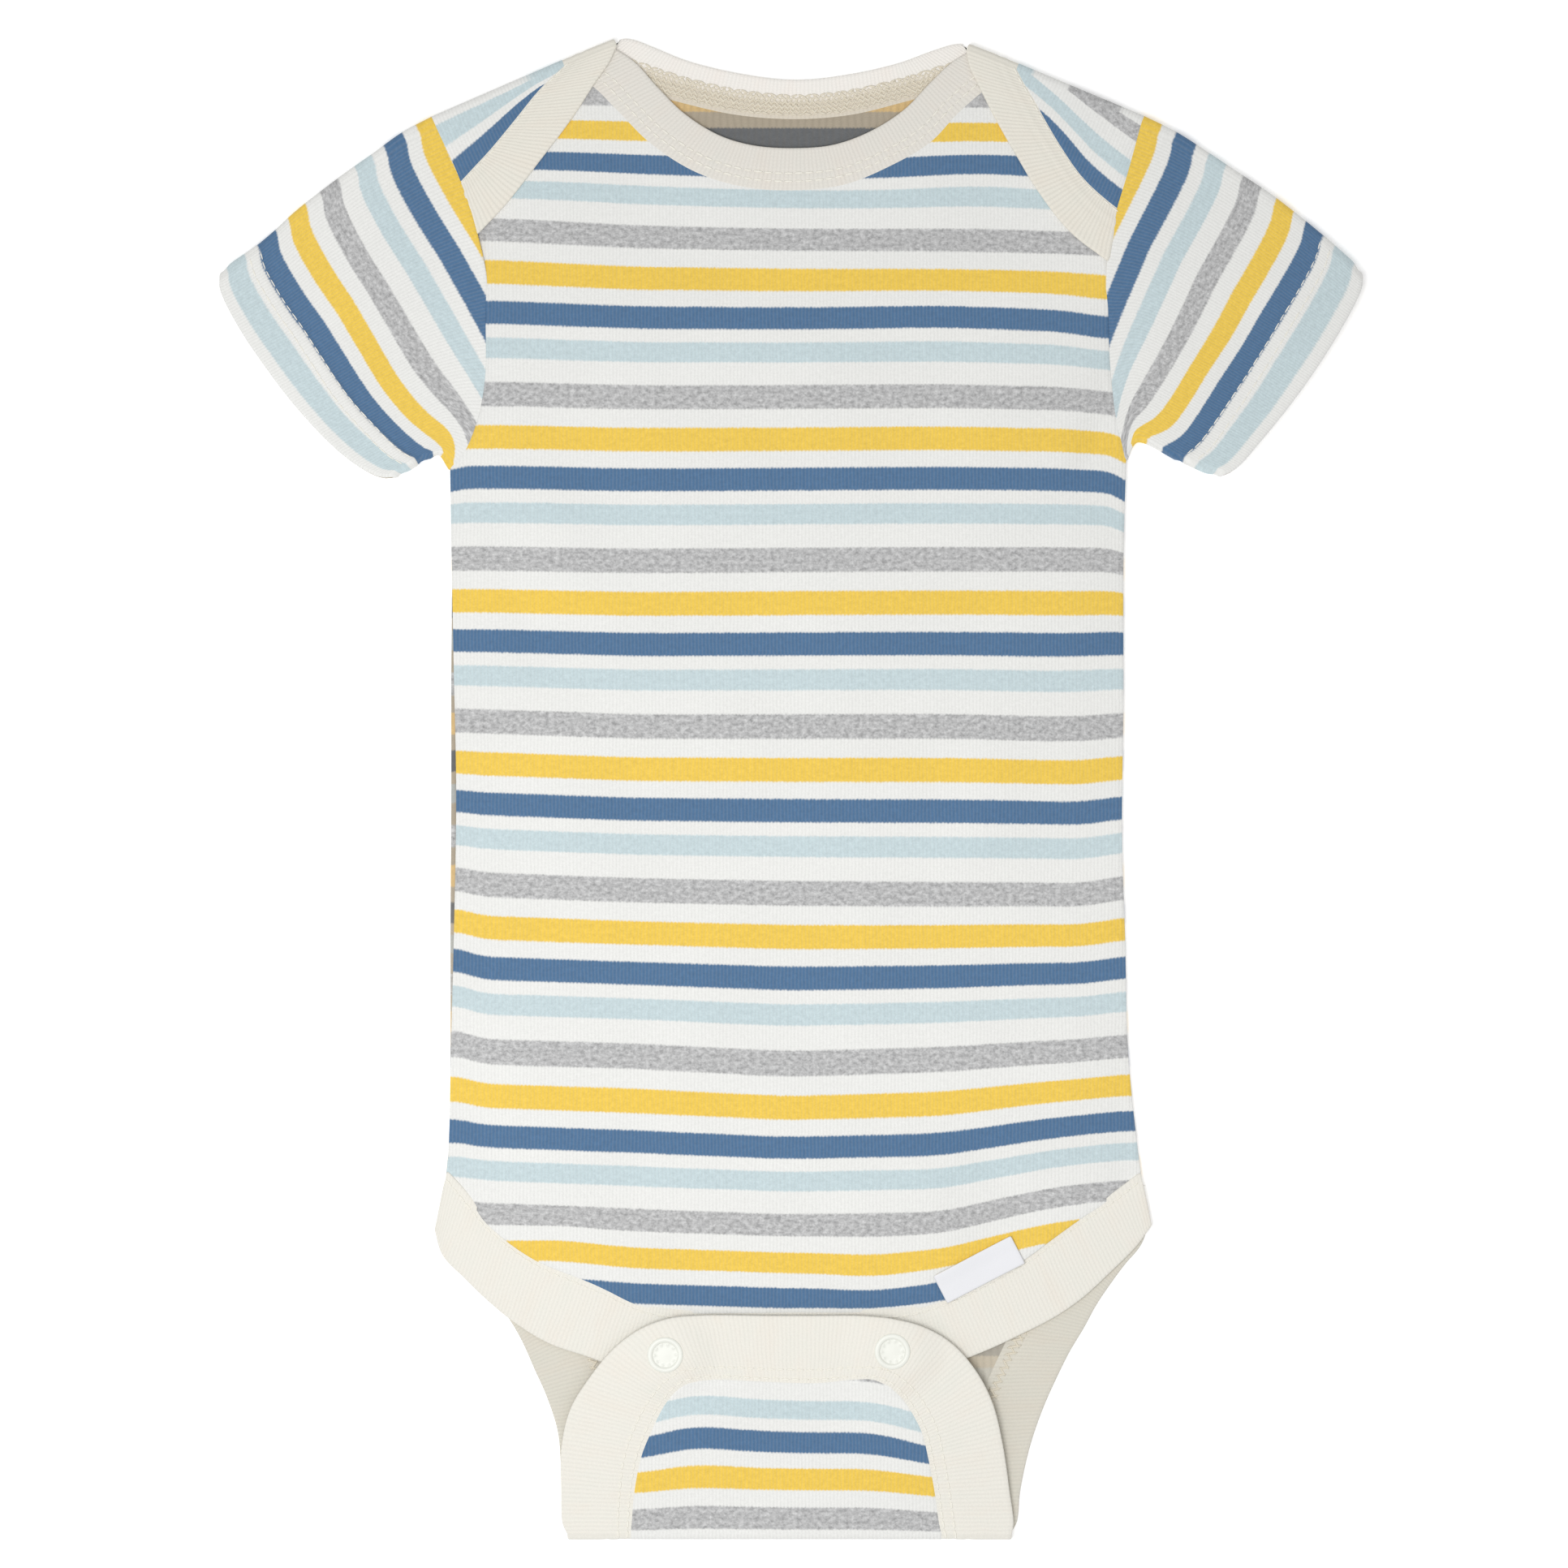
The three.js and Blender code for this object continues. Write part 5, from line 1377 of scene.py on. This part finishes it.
for side, at in SNAPS.items():
    band = TAIL_TOP_Z + TAIL_SNAP_RISE
    under, over = band - RIB / 2 - 0.1, band + RIB / 2 - 0.12
    cap = turned_piece(
        f"snap_cap_visual_{side}",
        [(0, under + 0.1), (2.05, under + 0.1), (2.15, under - 1.1), (4.0, under - 1.1),
         (SNAP_DISC_RADIUS, under - 0.9), (SNAP_DISC_RADIUS, under),
         (CAP_POST_RADIUS, under), (CAP_POST_RADIUS, over),
         (SNAP_RADIUS - 0.15, over), (SNAP_RADIUS, over + 0.15)]
        + ring_bead(SNAP_RADIUS - 1.4, SNAP_RADIUS, over + 0.22, 0.42)
        + [(SNAP_RADIUS - 1.45, over + 0.18), (SNAP_RADIUS - 1.75, over + 0.14, 0.2),
           (SNAP_RADIUS - 2.0, over + 0.14, 0.2), (SNAP_RADIUS - 2.25, over + 0.12),
           (1.9, over + 0.14), (0.8, over + 0.18), (0, over + 0.2)],
        at,
    )
    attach(cap, "root")
    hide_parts(f"snap_cap_{side}")
    band = LEG_BAND_Z + LEG_BAND_SNAP_RISE
    under, over = band - RIB / 2 - 0.3, band + RIB / 2 + 0.3
    stud = turned_piece(
        f"snap_stud_visual_{side}",
        [(0, under - 0.5), (3.8, under - 0.5), (4.1, under - 0.38), (SNAP_DISC_RADIUS, under - 0.2),
         (SNAP_DISC_RADIUS, under), (STUD_POST_RADIUS, under), (STUD_POST_RADIUS, over),
         (SNAP_DISC_RADIUS, over), (SNAP_DISC_RADIUS, over + 0.3), (4.05, over + 0.45),
         (3.8, over + 0.5), (1.65, over + 0.5),
         (1.6, over + 0.8), (1.75, over + 1.15), (1.6, over + 1.4), (1.3, over + 1.55),
         (0.7, over + 1.6), (0, over + 1.6)],
        at,
    )
    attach(stud, "root")
    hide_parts(f"snap_stud_{side}")

# Side label
# A small folded label of white woven ribbon, caught in the seam of the front's leg band. It
# is left bare.
LABEL_SEAM = [[41.0, -135.4], [61.2, -124.9]]
LABEL_WIDTH = 6.3
LABEL_THICKNESS = 0.7
ribbon, tree, shader, knit = cloth_material("label_ribbon", sheen=0.2)
place = add_node(tree, "ShaderNodeSeparateXYZ", knit).outputs
warp = sums(tree, "ABSOLUTE", sums(tree, "SINE", sums(tree, "MULTIPLY", place[0], math.pi / 0.00028)))
weft = sums(tree, "ABSOLUTE", sums(tree, "SINE", sums(tree, "MULTIPLY", place[1], math.pi / 0.0002)))
weave = sums(tree, "MULTIPLY", warp, weft)
# The ribbon's colour is darker where the weave sinks: painted shade in its hollows.
tree.links.new(
    blended(tree, weave, colour(226, 227, 231), colour(243, 243, 246)), shader.inputs["Base Color"]
)
relief(tree, shader, weave, 0.4, 0.00006)
tree.links.new(sums(tree, "MULTIPLY_ADD", weave, 0.15, 0.55), shader.inputs["Roughness"])

low, high = (np.array(p) for p in LABEL_SEAM)
run = way(low, high)
up = np.array([-run[1], run[0]])
tuck = up * 1.4
reach = up * LABEL_WIDTH
plan = between(straight(low - tuck, high - tuck, 36), straight(low + reach, high + reach, 36), 16)
across = np.linspace(0, 1, 17)[:, None]
rest = front_height(plan[..., 0], plan[..., 1]) + JERSEY / 2 + 0.25 + LABEL_THICKNESS / 2
knit = np.stack([(plan - low) @ run, (plan - low) @ up], 2)
curl = 0.35 * smooth(across, 0.5, 1.0)
label_leaf = leaf(lifted(plan, rest + curl), knit, thick=LABEL_THICKNESS)
label = sew("label_ribbon_piece", [label_leaf], ribbon, ribbon)
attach(label, "root")
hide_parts("side_label")

# Room
# A plain white table top, soft even light from all round, one softbox nearly overhead and a
# camera straight over the garment. Metres. From below the table is clear, so that the
# garment's underside can be looked at.
FLOOR_Z = -0.00005
SOFTBOX_AT = (-0.14, -0.11, 0.66)
CAMERA_AT = (-0.00195, 0.0013, 0.989)
floor_mesh = bpy.data.meshes.new("table_top")
floor_mesh.from_pydata(
    [(x, y, FLOOR_Z) for x, y in ((-4, -4), (4, -4), (4, 4), (-4, 4))], [], [(0, 1, 2, 3)]
)
floor = placed("table_top", floor_mesh)
white, tree, shader = plain_material("table_white", 0.1)
shader.inputs["Roughness"].default_value = 0.9
spot = add_node(tree, "ShaderNodeTexCoord").outputs["Object"]
haze = add_node(tree, "ShaderNodeTexNoise", spot, None, 3.0, 2.0).outputs[0]
tree.links.new(
    blended(tree, haze, (0.93, 0.93, 0.93, 1), (0.95, 0.95, 0.95, 1)), shader.inputs["Base Color"]
)
shader.inputs["Emission Color"].default_value = (1, 1, 1, 1)
shader.inputs["Emission Strength"].default_value = 0.24
seen_from_below = add_node(tree, "ShaderNodeNewGeometry").outputs["Backfacing"]
clear = add_node(tree, "ShaderNodeBsdfTransparent").outputs[0]
top_only = add_node(tree, "ShaderNodeMixShader", seen_from_below)
tree.links.new(shader.outputs[0], top_only.inputs[1])
tree.links.new(clear, top_only.inputs[2])
tree.links.new(top_only.outputs[0], tree.nodes["Material Output"].inputs["Surface"])
floor_mesh.materials.append(white)

scene = bpy.context.scene
world = bpy.data.worlds.new("studio")
scene.world = world
world.use_nodes = True
world.node_tree.nodes["Background"].inputs["Color"].default_value = (1, 1, 1, 1)
world.node_tree.nodes["Background"].inputs["Strength"].default_value = 0.57

light = bpy.data.lights.new("softbox", "AREA")
light.shape = "SQUARE"
light.size = 0.34
light.energy = 2.62
lamp = bpy.data.objects.new("softbox", light)
lamp.location = SOFTBOX_AT
lamp.visible_camera = False
aim = np.array(SOFTBOX_AT) / np.linalg.norm(SOFTBOX_AT)
lamp.rotation_euler = (math.acos(aim[2]), 0, math.atan2(aim[1], aim[0]) + math.pi / 2)
scene.collection.objects.link(lamp)

lens = bpy.data.cameras.new("camera")
lens.lens = 85
lens.sensor_width = 36
camera = bpy.data.objects.new("camera", lens)
camera.location = CAMERA_AT
scene.collection.objects.link(camera)
scene.camera = camera
scene.view_settings.view_transform = "Standard"
